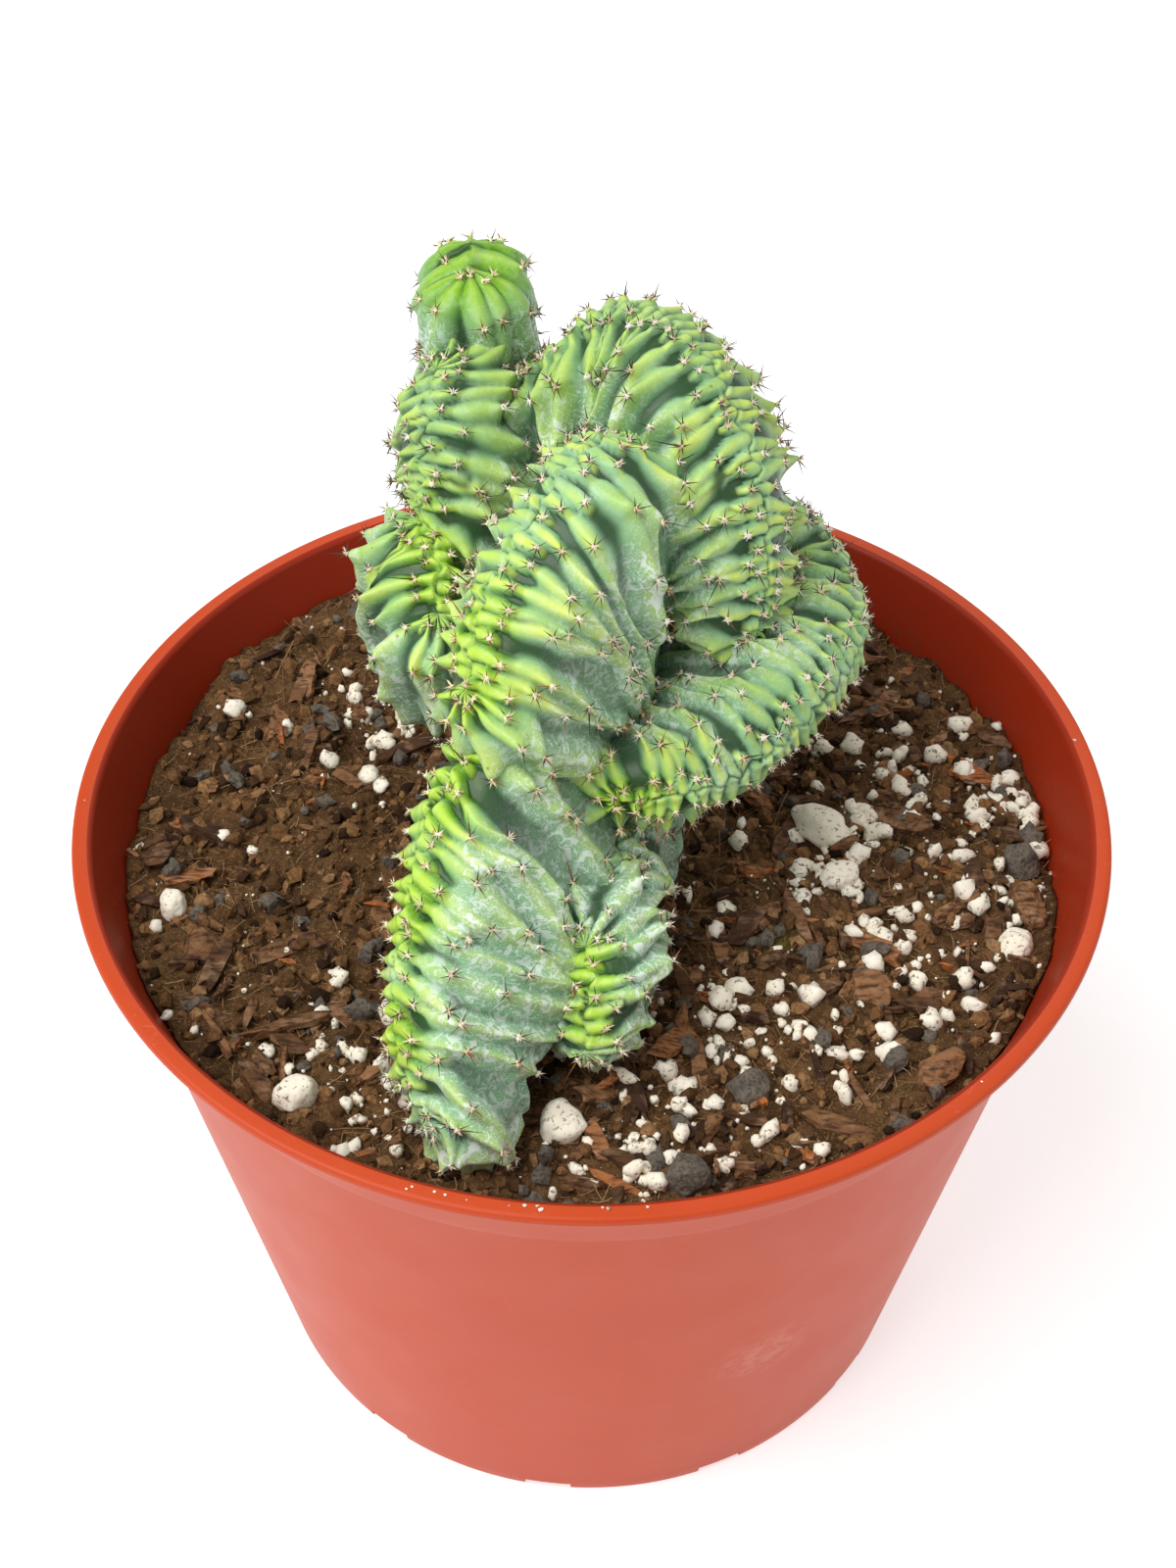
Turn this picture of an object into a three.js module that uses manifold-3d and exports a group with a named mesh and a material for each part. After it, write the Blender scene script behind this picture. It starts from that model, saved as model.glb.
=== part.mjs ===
// Potted crested blue myrtle cactus: ribbed, folded crests on one plant, in a round plastic pot of mix.
// Millimetres, +Z up, and the plant leans out towards -Y. The origin is the centre of the pot's base.
import * as THREE from 'three';
import { mergeVertices } from 'three/addons/utils/BufferGeometryUtils.js';
import Module from 'manifold-3d';

const wasm = await Module();
wasm.setup();

// Driving dimensions of the pot
const RIM_RADIUS = 101.5;
const RIM_WIDTH = 3.8;
const RIM_DEPTH = 2;
const RIM_CHAMFER = 0.6;
const POT_HEIGHT = 139.3;
const BASE_RADIUS = 72.7;
const BASE_CHAMFER = 0.8;
const WALL = 1.6;
const COLLAR_HEIGHT = 16;
const COLLAR_FLARE = 5.3;
const COLLAR_STEP = 0.4;
const COLLAR_SLOPE = 1.5;
const FLOOR_HEIGHT = 5;
const FLOOR_THICKNESS = 2;
const FOOT_WIDTH = 4;
const FOOT_SLOPE = 2;
const POT_SEGMENTS = 60;
const DRAIN_NOTCHES = 12;
const DRAIN_SLOTS = 6;
const DRAIN_WIDTH = 10;
const DRAIN_LENGTH = 18;
const DRAIN_INSET = 6;
const NOTCH_HEIGHT = 2.4;
const FIRST_NOTCH = THREE.MathUtils.degToRad(263.3);

// Driving dimensions of the potting mix: its ring radii, and the height and position of its rise at the back
const MIX_LEVEL = 125;
const MIX_SEGMENTS = 40;
const MIX_RINGS = [84, 72, 58, 44, 28];
const MIX_RISE = { height: 4, x: -62, y: 55, spread: 700 };
const FIT = 0.3;
const WALL_FIT = 0.45;
const HOLLOW_FIT = 3;
const GRAINS = 44;
const GRAIN_SEED = 41;
const GRAIN_REACH = 86;
const GRAIN_SIZES = [1.3, 2.5];
const GRAIN_SPACING = 2;

// Driving dimensions of the plant
const TRUNK_AT = [11, -5];
const TRUNK_PROFILE = [[0, 104], [10.5, 104], [11.5, 119], [11.5, 133], [13, 145], [0, 153]];
const TRUNK_SEGMENTS = 16;
const RIB_STEP = 5.6;
const PLAIN_STEP = 9;
const HEAD_SHARE = 0.9;
const SECTION_STEPS = 24;
const GROOVE = 2.2;
const RIB_RELIEF = 1.5;
const BEAN_ROWS = [2.5, 10, 23, 40, 60];
const STAGGER = [0, 0.25, 0.5, 0.25];
const PLAIN_RINGS = [0, 0.18, 0.36, 0.6, 0.85, 1];
const BEAN_HEIGHTS = [0.1, 0.8, 1.25];
const BEAN_SHARES = [0, 0.3, 0.85];
const SKIRT = { share: 0.4, height: 0.3 };
const LAST_ROW_SHARE = 0.8;
const SPINE_RADIUS = 0.5;
const SPINE_ROOT = 2;
const SPINE_LENGTHS = [4, 8];
const SPINE_SHARE = 0.75;
const SPINE_LEAN = 0.9;
const SPINE_SWING = 1.4;
const SPINE_SEED = 7;
const SPINE_CLEARANCE = 6;
const PROBE_SIZE = 0.4;

// The crests, the arm, the pup and the stems they grow from. Each has a growing edge on top, the line its
// ribs run back to, half its thickness at its start, middle and end, and how full its flanks stay.
// A plain one has no ribs.
const GROWTHS = {
  back_arm: {
    edge: [[-26.6, 53, 230], [-24.8, 53, 230]],
    foot: [[-18, 46, 172], [-16, 46, 172]],
    half: [10.5, 10.5, 10.5],
    full: 0.15,
  },
  left_crest: {
    edge: [[-31, 34, 221], [-33, 28, 217], [-34, 24, 208], [-35, 23, 197], [-36, 24, 188]],
    foot: [[-15, 45, 192], [-16, 39, 178], [-18, 34, 163]],
    half: [12, 13.5, 11.5],
    full: 0.4,
  },
  left_fan: {
    edge: [[-36, 26, 184], [-33, 18, 187], [-31, 10, 186], [-31, 6, 180]],
    foot: [[-28, 24, 150], [-26, 14, 148]],
    half: [12, 14, 12],
    full: 0.35,
  },
  centre_crest: {
    edge: [
      [6, 12, 216], [1, 4, 221], [-5, -3, 220], [-11, -8, 214],
      [-17, -16, 207], [-21, -24, 199], [-22, -28, 192],
    ],
    foot: [[5, 12, 172], [3, 4, 170], [-2, -1, 168], [-7, 1, 166]],
    half: [12, 15.5, 14],
    full: 0.4,
  },
  right_crest: {
    edge: [
      [-11, 38, 214], [-5, 37, 221], [4, 38, 227], [12, 34, 228],
      [19, 24, 226], [26, 13, 218], [31, 5, 208], [32, 0, 199],
    ],
    foot: [[-4, 32, 180], [5, 24, 176], [14, 14, 172], [20, 3, 170]],
    half: [9.5, 14, 12],
    full: 0.4,
  },
  right_fan: {
    edge: [
      [6, -27, 165], [15, -26, 166], [25, -22, 168], [35, -14, 170], [43, -4, 172],
      [50, 6, 174], [51, 16, 176], [47, 27, 179], [41, 32, 183],
    ],
    foot: [[9, -8, 152], [13, -2, 152], [16, 5, 154], [18, 14, 158]],
    half: [8, 10.5, 9],
    full: 0.5,
  },
  front_lobe: {
    edge: [
      [-24, -29, 177], [-29, -37, 170], [-31, -44, 163], [-32, -50, 156],
      [-33, -59, 149], [-33, -67, 142], [-30, -76, 136],
    ],
    foot: [[-2, -8, 154], [-8, -24, 144], [-14, -42, 139], [-18, -54, 138]],
    half: [12, 16, 11],
    full: 0.35,
  },
  pup: {
    edge: [[4, -36, 153], [1, -46, 152], [0, -53, 150], [0, -60, 146], [-1, -65, 140]],
    foot: [[10, -16, 142], [5, -26, 140], [3, -40, 138]],
    half: [8, 10, 8],
    full: 0.4,
  },
  stem: {
    edge: [[-14, 38, 184], [-4, 24, 180], [6, 10, 176], [9, -6, 168]],
    foot: [[-4, 22, 142], [6, 4, 134], [11, -4, 130]],
    half: [12, 16, 14],
    full: 0.4,
    plain: true,
  },
  left_stem: {
    edge: [[-24, 22, 164], [-10, 10, 166]],
    foot: [[-10, 16, 140], [-2, 6, 136]],
    half: [10, 12, 12],
    full: 0.4,
    plain: true,
  },
};

// The growths that lie low over the potting mix, and the ground they cover: x, y and reach
const LOW_GROWTHS = ['front_lobe', 'pup'];
const PLANT_GROUND = [[11, -5, 20], [-22, -60, 22], [-26, -42, 20], [0, -52, 15], [-8, -20, 22]];

// The largest loose pieces on the mix: where each lies, its half sizes, its turn, how rough it is and how
// square
const LUMP_RISE = 0.35;
const FIRST_LUMP_SEED = 100;
const LUMP_COLOURS = { perlite: 0xe9e2d3, bark: 0x7a4a30, stone: 0x4b443f };
const LUMPS = {
  perlite_long: { at: [47, 5], size: [7.6, 4.6, 4.2], turn: [0, 0, -0.75], rough: 0.25, square: 0 },
  perlite_round: { at: [-5, -72], size: [4.6, 4.8, 4], turn: [0, 0, 0.3], rough: 0.25, square: 0.1 },
  perlite_left: { at: [-53, -66], size: [4.6, 3.8, 3.4], turn: [0, 0, 0.5], rough: 0.25, square: 0 },
  perlite_wall_left: { at: [-82, -18], size: [2.9, 3.9, 3], turn: [0, 0, 0.2], rough: 0.2, square: 0 },
  perlite_wall_right: { at: [82, -28], size: [3.6, 4.3, 3.4], turn: [0, 0, -0.3], rough: 0.2, square: 0 },
  perlite_back: { at: [-38, 38], size: [4.4, 3.6, 3.4], turn: [0, 0, 0.6], rough: 0.25, square: 0.1 },
  perlite_cluster: { at: [49, -10], size: [4.4, 3.4, 3.2], turn: [0, 0, 0.4], rough: 0.25, square: 0 },
  bark_block: { at: [86, -17], size: [2.9, 6.4, 3], turn: [0, 0, 0.08], rough: 0.08, square: 0.75 },
  bark_chip_right: { at: [53, -39], size: [4.8, 4.6, 1.8], turn: [0.15, 0.1, 0.4], rough: 0.2, square: 0.4 },
  bark_chip_left: { at: [-74, -30], size: [3.6, 4.6, 1.7], turn: [0.1, 0.25, -0.3], rough: 0.2, square: 0.5 },
  bark_chip_front: { at: [64, -59], size: [6.4, 3.2, 2], turn: [0.1, 0, 0.7], rough: 0.2, square: 0.5 },
  bark_splinter: { at: [45, -70], size: [9.5, 1.9, 1.5], turn: [0, 0.05, -0.35], rough: 0.15, square: 0.4 },
  stone_dark: { at: [29, -63], size: [4.6, 4.2, 3.4], turn: [0, 0, 0.2], rough: 0.25, square: 0.1 },
  stone_wall_right: { at: [86, -5], size: [3.4, 5.2, 3.6], turn: [0, 0, 0.35], rough: 0.2, square: 0.1 },
  stone_front: { at: [17, -83], size: [4.8, 4.6, 4], turn: [0, 0, 0], rough: 0.12, square: 0 },
};

// Same numbers each run, spread evenly from 0 to 1
function seededRandom(seed) {
  let state = seed;
  return () => {
    state = (state + 0x6d2b79f5) | 0;
    let mixed = Math.imul(state ^ (state >>> 15), 1 | state);
    mixed = (mixed + Math.imul(mixed ^ (mixed >>> 7), 61 | mixed)) ^ mixed;
    return ((mixed ^ (mixed >>> 14)) >>> 0) / 4294967296;
  };
}

function curveThrough(points) {
  return new THREE.CatmullRomCurve3(points.map((point) => new THREE.Vector3(...point)));
}

// A closed solid from a geometry whose edges meet: shared corners are merged and collapsed faces dropped
function solidOf(geometry) {
  const bare = geometry.clone();
  bare.deleteAttribute('normal');
  bare.deleteAttribute('uv');
  const merged = mergeVertices(bare, 1e-3);
  const corners = merged.index.array;
  const kept = [];
  for (let i = 0; i < corners.length; i += 3) {
    const [a, b, c] = [corners[i], corners[i + 1], corners[i + 2]];
    if (a !== b && b !== c && c !== a) {
      kept.push(a, b, c);
    }
  }
  const mesh = new wasm.Mesh({
    numProp: 3,
    vertProperties: new Float32Array(merged.attributes.position.array),
    triVerts: new Uint32Array(kept),
  });
  return new wasm.Manifold(mesh);
}

function geometryOf(solid) {
  const mesh = solid.getMesh();
  const geometry = new THREE.BufferGeometry();
  geometry.setAttribute('position', new THREE.BufferAttribute(new Float32Array(mesh.vertProperties), 3));
  geometry.setIndex(new THREE.BufferAttribute(new Uint32Array(mesh.triVerts), 1));
  geometry.computeVertexNormals();
  return geometry;
}

// A solid turned about the vertical axis from a profile of radii and heights
function turned(profile, segments) {
  const points = profile.map(([radius, z]) => new THREE.Vector2(radius, z));
  return new THREE.LatheGeometry(points, segments).rotateX(Math.PI / 2);
}

// The largest body of a solid, without loose scraps
function mainBody(solid) {
  const bodies = solidOf(geometryOf(solid)).decompose();
  return bodies.reduce((best, body) => (body.volume() > best.volume() ? body : best));
}

// Half the thickness along a growth, from its start, middle and end values
function halfAt(half, u) {
  const towardsEnd = u < 0.5 ? half[0] : half[2];
  const fade = Math.sin(Math.PI * Math.min(u, 1 - u));
  return towardsEnd + (half[1] - towardsEnd) * fade;
}

// The frames along a growing edge: its point, the way down to the foot, the way ahead and the way to the side
function edgeFrames(growth, steps) {
  const edge = curveThrough(growth.edge);
  const foot = curveThrough(growth.foot);
  const frames = [];
  for (let i = 0; i <= steps; i += 1) {
    const u = i / steps;
    const top = edge.getPointAt(u);
    const down = foot.getPointAt(u).sub(top);
    const depth = down.length();
    down.normalize();
    const ahead = edge.getTangentAt(u);
    ahead.addScaledVector(down, -ahead.dot(down)).normalize();
    const side = new THREE.Vector3().crossVectors(ahead, down).normalize();
    frames.push({ top, down, depth, ahead, side, half: halfAt(growth.half, u) });
  }
  return frames;
}

// Once round a growth: along one side, round its end, back along the other side and round its start
function loopOf(growth) {
  const step = growth.plain ? PLAIN_STEP : RIB_STEP;
  const steps = Math.max(1, Math.round(curveThrough(growth.edge).getLength() / step));
  const frames = edgeFrames(growth, steps);
  const loop = [];
  const add = (frame, sign, angle) => {
    const out = new THREE.Vector3()
      .addScaledVector(frame.side, sign * Math.cos(angle))
      .addScaledVector(frame.ahead, sign * Math.sin(angle));
    loop.push({ ...frame, out });
  };
  const turnRound = (frame, sign) => {
    const arc = Math.PI * frame.half * HEAD_SHARE;
    const count = 2 * Math.round(arc / step / 2) + 1;
    for (let i = 0; i < count; i += 1) {
      add(frame, sign, (Math.PI * i) / count);
    }
  };
  for (let i = 0; i < steps; i += 1) {
    add(frames[i], 1, 0);
  }
  turnRound(frames[steps], 1);
  for (let i = steps; i > 0; i -= 1) {
    add(frames[i], -1, 0);
  }
  turnRound(frames[0], -1);
  return loop;
}

// A growth's cross section from its edge to its foot: a round head, then flanks that draw in
function sectionOf({ half, depth }, full) {
  const head = HEAD_SHARE * half;
  const samples = [];
  for (let i = 0; i <= SECTION_STEPS; i += 1) {
    const angle = (Math.PI / 2) * (i / SECTION_STEPS);
    samples.push(new THREE.Vector2(half * Math.sin(angle), head * (1 - Math.cos(angle))));
  }
  for (let i = 1; i <= SECTION_STEPS; i += 1) {
    const fall = i / SECTION_STEPS;
    const width = i < SECTION_STEPS ? Math.cos((Math.PI / 2) * fall) ** full : 0;
    samples.push(new THREE.Vector2(half * width, head + (depth - head) * fall));
  }
  const lengths = [0];
  for (let i = 1; i < samples.length; i += 1) {
    lengths.push(lengths[i - 1] + samples[i].distanceTo(samples[i - 1]));
  }
  return { samples, lengths, total: lengths[lengths.length - 1] };
}

function pointOnSection(section, distance) {
  const goal = Math.min(distance, section.total);
  let i = 1;
  while (i < section.lengths.length - 1 && section.lengths[i] < goal) {
    i += 1;
  }
  const share = (goal - section.lengths[i - 1]) / (section.lengths[i] - section.lengths[i - 1]);
  return section.samples[i - 1].clone().lerp(section.samples[i], share);
}

// The rings of a growth on the way from edge to foot: each row of beans has a crease, a swelling and a crown
// where its spines stand, and below the last row the flank is a smooth skirt
function ringPlan(total, plain) {
  if (plain) {
    return PLAIN_RINGS.map((share) => ({ at: share * total, length: 0, height: 0 }));
  }
  const rings = [{ at: 0, length: 0, height: 0 }];
  for (let row = 0; row + 1 < BEAN_ROWS.length; row += 1) {
    const length = BEAN_ROWS[row + 1] - BEAN_ROWS[row];
    const places = BEAN_SHARES.map((share) => BEAN_ROWS[row] + share * length);
    if (places[2] > total * LAST_ROW_SHARE) {
      break;
    }
    const relief = RIB_RELIEF * Math.min(1, 0.5 + 0.25 * row);
    places.forEach((at, i) => rings.push({ at, length, height: BEAN_HEIGHTS[i] * relief, crown: i === 2 }));
  }
  const last = rings[rings.length - 1].at;
  rings.push({ at: last + SKIRT.share * (total - last), length: 0, height: SKIRT.height * RIB_RELIEF });
  rings.push({ at: total, length: 0, height: 0 });
  return rings;
}

// The unribbed skin of a growth, ring by ring; the beans of neighbouring ribs are set off along their ribs
function baseRings(growth, loop, sections, rings, total) {
  return rings.map((ring) => loop.map((station, column) => {
    const stagger = STAGGER[column % STAGGER.length] * ring.length * (1 - ring.at / total);
    const section = sections[column];
    const spot = pointOnSection(section, (ring.at + stagger) * (section.total / total));
    return station.top.clone()
      .addScaledVector(station.down, spot.y)
      .addScaledVector(station.out, spot.x);
  }));
}

// The ribbed skin: even columns are ribs with beans, odd ones the grooves between them. Where ribs crowd
// together on the inside of a bend they stand lower.
function ribbedRings(growth, loop, base, rings) {
  const columns = loop.length;
  const crowns = [];
  const skin = base.map((row, r) => row.map((point, column) => {
    const { down, out } = loop[column];
    if (r === 0) {
      return point.clone().addScaledVector(down, growth.plain ? 0 : GROOVE);
    }
    if (r === rings.length - 1 || growth.plain) {
      return point.clone();
    }
    const before = row[(column + columns - 1) % columns];
    const after = row[(column + 1) % columns];
    const onward = base[r + 1][column].clone().sub(base[r - 1][column]);
    const normal = new THREE.Vector3().crossVectors(after.clone().sub(before), onward).normalize();
    if (normal.dot(out) < normal.dot(down)) {
      normal.negate();
    }
    const isRib = column % 2 === 0;
    const valley = -RIB_RELIEF * Math.min(1, 0.35 * r);
    const crowding = Math.min(1, before.distanceTo(after) / (2 * RIB_STEP)) ** 2;
    if (isRib && rings[r].crown) {
      crowns.push({ r, column, normal, onward: onward.normalize() });
    }
    return point.clone().addScaledVector(normal, crowding * (isRib ? rings[r].height : valley));
  }));
  for (const crown of crowns) {
    const before = skin[crown.r][(crown.column + columns - 1) % columns];
    const below = skin[crown.r + 1][crown.column];
    crown.point = skin[crown.r][crown.column].clone().multiplyScalar(0.5);
    crown.point.addScaledVector(before, 0.25).addScaledVector(below, 0.25);
  }
  return { skin, crowns };
}

// One growth as a closed skin, with the crowns that its spines stand on
function growthOf(growth) {
  const loop = loopOf(growth);
  const sections = loop.map((station) => sectionOf(station, growth.full));
  const total = Math.max(...sections.map((section) => section.total));
  const rings = ringPlan(total, growth.plain);
  const base = baseRings(growth, loop, sections, rings, total);
  const { skin, crowns } = ribbedRings(growth, loop, base, rings);
  const columns = loop.length;
  const geometry = new THREE.PlaneGeometry(1, 1, columns, rings.length - 1);
  const position = geometry.attributes.position;
  skin.forEach((row, r) => {
    for (let column = 0; column <= columns; column += 1) {
      const corner = row[column % columns];
      position.setXYZ(r * (columns + 1) + columns - column, corner.x, corner.y, corner.z);
    }
  });
  return { geometry, crowns };
}

// The trunk, a plain round stem that stands in a hole in the potting mix, or that hole when grown by its fit
function trunkSolid(grow) {
  const profile = TRUNK_PROFILE.map(([radius, z], i) => [radius && radius + grow, i < 2 ? z - grow : z]);
  const geometry = turned(profile, TRUNK_SEGMENTS);
  geometry.translate(...TRUNK_AT, 0);
  return solidOf(geometry);
}

// A spine: a thin three-sided point, its root sunk into the crown it stands on
function spineSolid(root, direction, length) {
  const geometry = new THREE.ConeGeometry(SPINE_RADIUS, length + SPINE_ROOT, 3);
  geometry.translate(0, (length + SPINE_ROOT) / 2 - SPINE_ROOT, 0);
  geometry.applyQuaternion(new THREE.Quaternion().setFromUnitVectors(new THREE.Vector3(0, 1, 0), direction));
  geometry.translate(root.x, root.y, root.z);
  return solidOf(geometry);
}

// True where a small probe at the point touches the body
function isInside(body, point) {
  const probe = new THREE.TetrahedronGeometry(PROBE_SIZE);
  probe.translate(point.x, point.y, point.z);
  return !body.intersect(solidOf(probe)).isEmpty();
}

// Spines on most of the crowns that lie open to the air, spread evenly over the plant by a seeded draw
function spinesOn(body, crowns) {
  const random = seededRandom(SPINE_SEED);
  const [shortest, longest] = SPINE_LENGTHS;
  const spines = [];
  for (const crown of crowns) {
    const draw = random();
    const lean = SPINE_LEAN * (random() - 0.3);
    const swing = SPINE_SWING * (random() - 0.5);
    const length = shortest + (longest - shortest) * random() ** 2;
    const across = new THREE.Vector3().crossVectors(crown.normal, crown.onward).normalize();
    const direction = crown.normal.clone().addScaledVector(crown.onward, lean).addScaledVector(across, swing);
    direction.normalize();
    const tip = crown.point.clone().addScaledVector(direction, length);
    const middle = crown.point.clone().addScaledVector(direction, 0.35 * length);
    const isClear = tip.z > MIX_LEVEL + SPINE_CLEARANCE && !isInside(body, tip) && !isInside(body, middle);
    if (draw < SPINE_SHARE && isClear) {
      spines.push(spineSolid(crown.point, direction, length));
    }
  }
  return spines;
}

function cactusSolid() {
  const grown = Object.values(GROWTHS).map(growthOf);
  const body = wasm.Manifold.union([trunkSolid(0), ...grown.map(({ geometry }) => solidOf(geometry))]);
  const spines = spinesOn(body, grown.flatMap(({ crowns }) => crowns));
  return mainBody(wasm.Manifold.union([body, ...spines]));
}

// Radius of the pot's inner wall at a height: a straight taper, then a collar that flares a little more
function innerRadius(z) {
  const bottom = BASE_RADIUS - WALL;
  const collarFoot = POT_HEIGHT - COLLAR_HEIGHT;
  const shoulder = RIM_RADIUS - RIM_WIDTH - COLLAR_FLARE;
  if (z >= collarFoot) {
    return shoulder + (COLLAR_FLARE * (z - collarFoot)) / COLLAR_HEIGHT;
  }
  return bottom + ((shoulder - COLLAR_STEP - bottom) * z) / collarFoot;
}

function outerRadius(z) {
  return innerRadius(z) + WALL;
}

// The pot: a moulded shell with a flat rolled rim, a stepped collar, and a floor raised on a foot ring
function potSolid() {
  const collarFoot = POT_HEIGHT - COLLAR_HEIGHT;
  const belowCollar = collarFoot - COLLAR_SLOPE;
  const floorTop = FLOOR_HEIGHT + FLOOR_THICKNESS;
  const rimFoot = POT_HEIGHT - RIM_DEPTH;
  const footInside = BASE_RADIUS - FOOT_WIDTH;
  const profile = [
    [0, FLOOR_HEIGHT],
    [footInside - FOOT_SLOPE, FLOOR_HEIGHT],
    [footInside, 0],
    [BASE_RADIUS - BASE_CHAMFER, 0],
    [BASE_RADIUS, BASE_CHAMFER],
    [outerRadius(belowCollar), belowCollar],
    [outerRadius(collarFoot), collarFoot],
    [outerRadius(rimFoot), rimFoot],
    [RIM_RADIUS, rimFoot],
    [RIM_RADIUS, POT_HEIGHT - RIM_CHAMFER],
    [RIM_RADIUS - RIM_CHAMFER, POT_HEIGHT],
    [RIM_RADIUS - RIM_WIDTH + RIM_CHAMFER, POT_HEIGHT],
    [innerRadius(POT_HEIGHT), POT_HEIGHT - RIM_CHAMFER],
    [innerRadius(collarFoot), collarFoot],
    [innerRadius(belowCollar), belowCollar],
    [innerRadius(floorTop), floorTop],
    [0, floorTop],
  ];
  const cuts = [...footNotches(), ...floorSlots()];
  return solidOf(turned(profile, POT_SEGMENTS)).subtract(wasm.Manifold.union(cuts));
}

// The drain notches in the foot ring
function footNotches() {
  const notches = [];
  for (let i = 0; i < DRAIN_NOTCHES; i += 1) {
    const notch = new THREE.BoxGeometry(3 * FOOT_WIDTH, DRAIN_WIDTH, 2 * NOTCH_HEIGHT);
    notch.translate(BASE_RADIUS - FOOT_WIDTH / 2, 0, 0);
    notch.rotateZ(FIRST_NOTCH + (2 * Math.PI * i) / DRAIN_NOTCHES);
    notches.push(solidOf(notch));
  }
  return notches;
}

// The drain slots in the floor
function floorSlots() {
  const slots = [];
  for (let i = 0; i < DRAIN_SLOTS; i += 1) {
    const slot = new THREE.BoxGeometry(DRAIN_LENGTH, DRAIN_WIDTH, 4 * FLOOR_HEIGHT);
    slot.translate(BASE_RADIUS - FOOT_WIDTH - DRAIN_INSET - DRAIN_LENGTH / 2, 0, FLOOR_HEIGHT);
    slot.rotateZ(FIRST_NOTCH + (2 * Math.PI * i) / DRAIN_SLOTS);
    slots.push(solidOf(slot));
  }
  return slots;
}

// Height of the potting mix: gentle rolls, and a rise at the back left
function mixHeight(x, y) {
  const long = 1.1 * Math.sin(0.11 * x + 0.6) * Math.cos(0.09 * y - 0.4);
  const short = 0.6 * Math.sin(0.23 * x - 0.19 * y + 1.1);
  const away = (x - MIX_RISE.x) ** 2 + (y - MIX_RISE.y) ** 2;
  return MIX_LEVEL + long + short + MIX_RISE.height * Math.exp(-away / MIX_RISE.spread);
}

// A stone, chip or grain: a rough ball drawn out to its three half sizes, squarer for a block of wood
function lumpSolid(lump, detail, grow) {
  const ball = new THREE.IcosahedronGeometry(1, detail);
  ball.deleteAttribute('normal');
  ball.deleteAttribute('uv');
  const geometry = mergeVertices(ball, 1e-4);
  const random = seededRandom(lump.seed);
  const position = geometry.attributes.position;
  for (let i = 0; i < position.count; i += 1) {
    const corner = new THREE.Vector3().fromBufferAttribute(position, i);
    const box = Math.max(...corner.toArray().map(Math.abs));
    corner.multiplyScalar((1 + lump.rough * (random() - 0.5)) * (1 + lump.square * (1 / box - 1)));
    const [x, y, z] = lump.size.map((half, axis) => corner.getComponent(axis) * (half + grow));
    position.setXYZ(i, x, y, z);
  }
  geometry.applyMatrix4(new THREE.Matrix4().makeRotationFromEuler(new THREE.Euler(...lump.turn)));
  geometry.translate(...lump.at);
  return solidOf(geometry);
}

// Small grains scattered over the mix by a seeded draw, clear of the pieces that lie on it and of the plant
function grainList(lumps) {
  const random = seededRandom(GRAIN_SEED);
  const [smallest, largest] = GRAIN_SIZES;
  const grains = [];
  while (grains.length < GRAINS) {
    const angle = 2 * Math.PI * random();
    const radius = GRAIN_REACH * Math.sqrt(random());
    const [x, y] = [radius * Math.cos(angle), radius * Math.sin(angle)];
    const half = smallest + (largest - smallest) * random() ** 2;
    const seed = Math.floor(1000 * random());
    const nearLump = [...lumps, ...grains].some(({ at, size }) => (
      Math.hypot(x - at[0], y - at[1]) < Math.max(size[0], size[1]) + half + GRAIN_SPACING));
    const nearPlant = PLANT_GROUND.some(([px, py, reach]) => Math.hypot(x - px, y - py) < reach);
    if (!nearLump && !nearPlant) {
      const at = [x, y, mixHeight(x, y) + 0.3 * half];
      const size = [half, 0.9 * half, 0.8 * half];
      grains.push({ seed, at, size, turn: [0, 0, angle], rough: 0.2, square: 0 });
    }
  }
  return grains;
}

// The filling of the pot below its uneven top
function fillingSolid() {
  const floor = FLOOR_HEIGHT + FLOOR_THICKNESS + FIT;
  const belowCollar = POT_HEIGHT - COLLAR_HEIGHT - COLLAR_SLOPE;
  const profile = [
    [0, floor],
    [innerRadius(floor) - WALL_FIT, floor],
    [innerRadius(belowCollar) - WALL_FIT, belowCollar],
    [innerRadius(MIX_LEVEL) - WALL_FIT, MIX_LEVEL],
    ...MIX_RINGS.map((radius) => [radius, MIX_LEVEL]),
    [0, MIX_LEVEL],
  ];
  const geometry = turned(profile, MIX_SEGMENTS);
  const position = geometry.attributes.position;
  for (let i = 0; i < position.count; i += 1) {
    if (position.getZ(i) > MIX_LEVEL - FIT) {
      position.setZ(i, mixHeight(position.getX(i), position.getY(i)));
    }
  }
  return solidOf(geometry);
}

// The potting mix, with a hole for the trunk, hollows where the low growths and the largest pieces lie,
// and small grains standing out of its surface
function mixSolid(lumps) {
  const grains = grainList(lumps).map((grain) => lumpSolid(grain, 0, 0));
  const filling = wasm.Manifold.union([fillingSolid(), ...grains]);
  const hollows = lumps.map((lump) => lumpSolid(lump, 1, FIT));
  const lying = LOW_GROWTHS.map((name) => {
    const half = GROWTHS[name].half.map((each) => each + HOLLOW_FIT);
    return solidOf(growthOf({ ...GROWTHS[name], half, plain: true }).geometry);
  });
  return mainBody(filling.subtract(wasm.Manifold.union([trunkSolid(FIT), ...lying, ...hollows])));
}

// The largest loose pieces, each set a little way up out of the mix where it lies
function lumpList() {
  return Object.entries(LUMPS).map(([name, lump], index) => {
    const [x, y] = lump.at;
    const z = mixHeight(x, y) + LUMP_RISE * lump.size[2];
    return { ...lump, name, at: [x, y, z], seed: FIRST_LUMP_SEED + index };
  });
}

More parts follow.
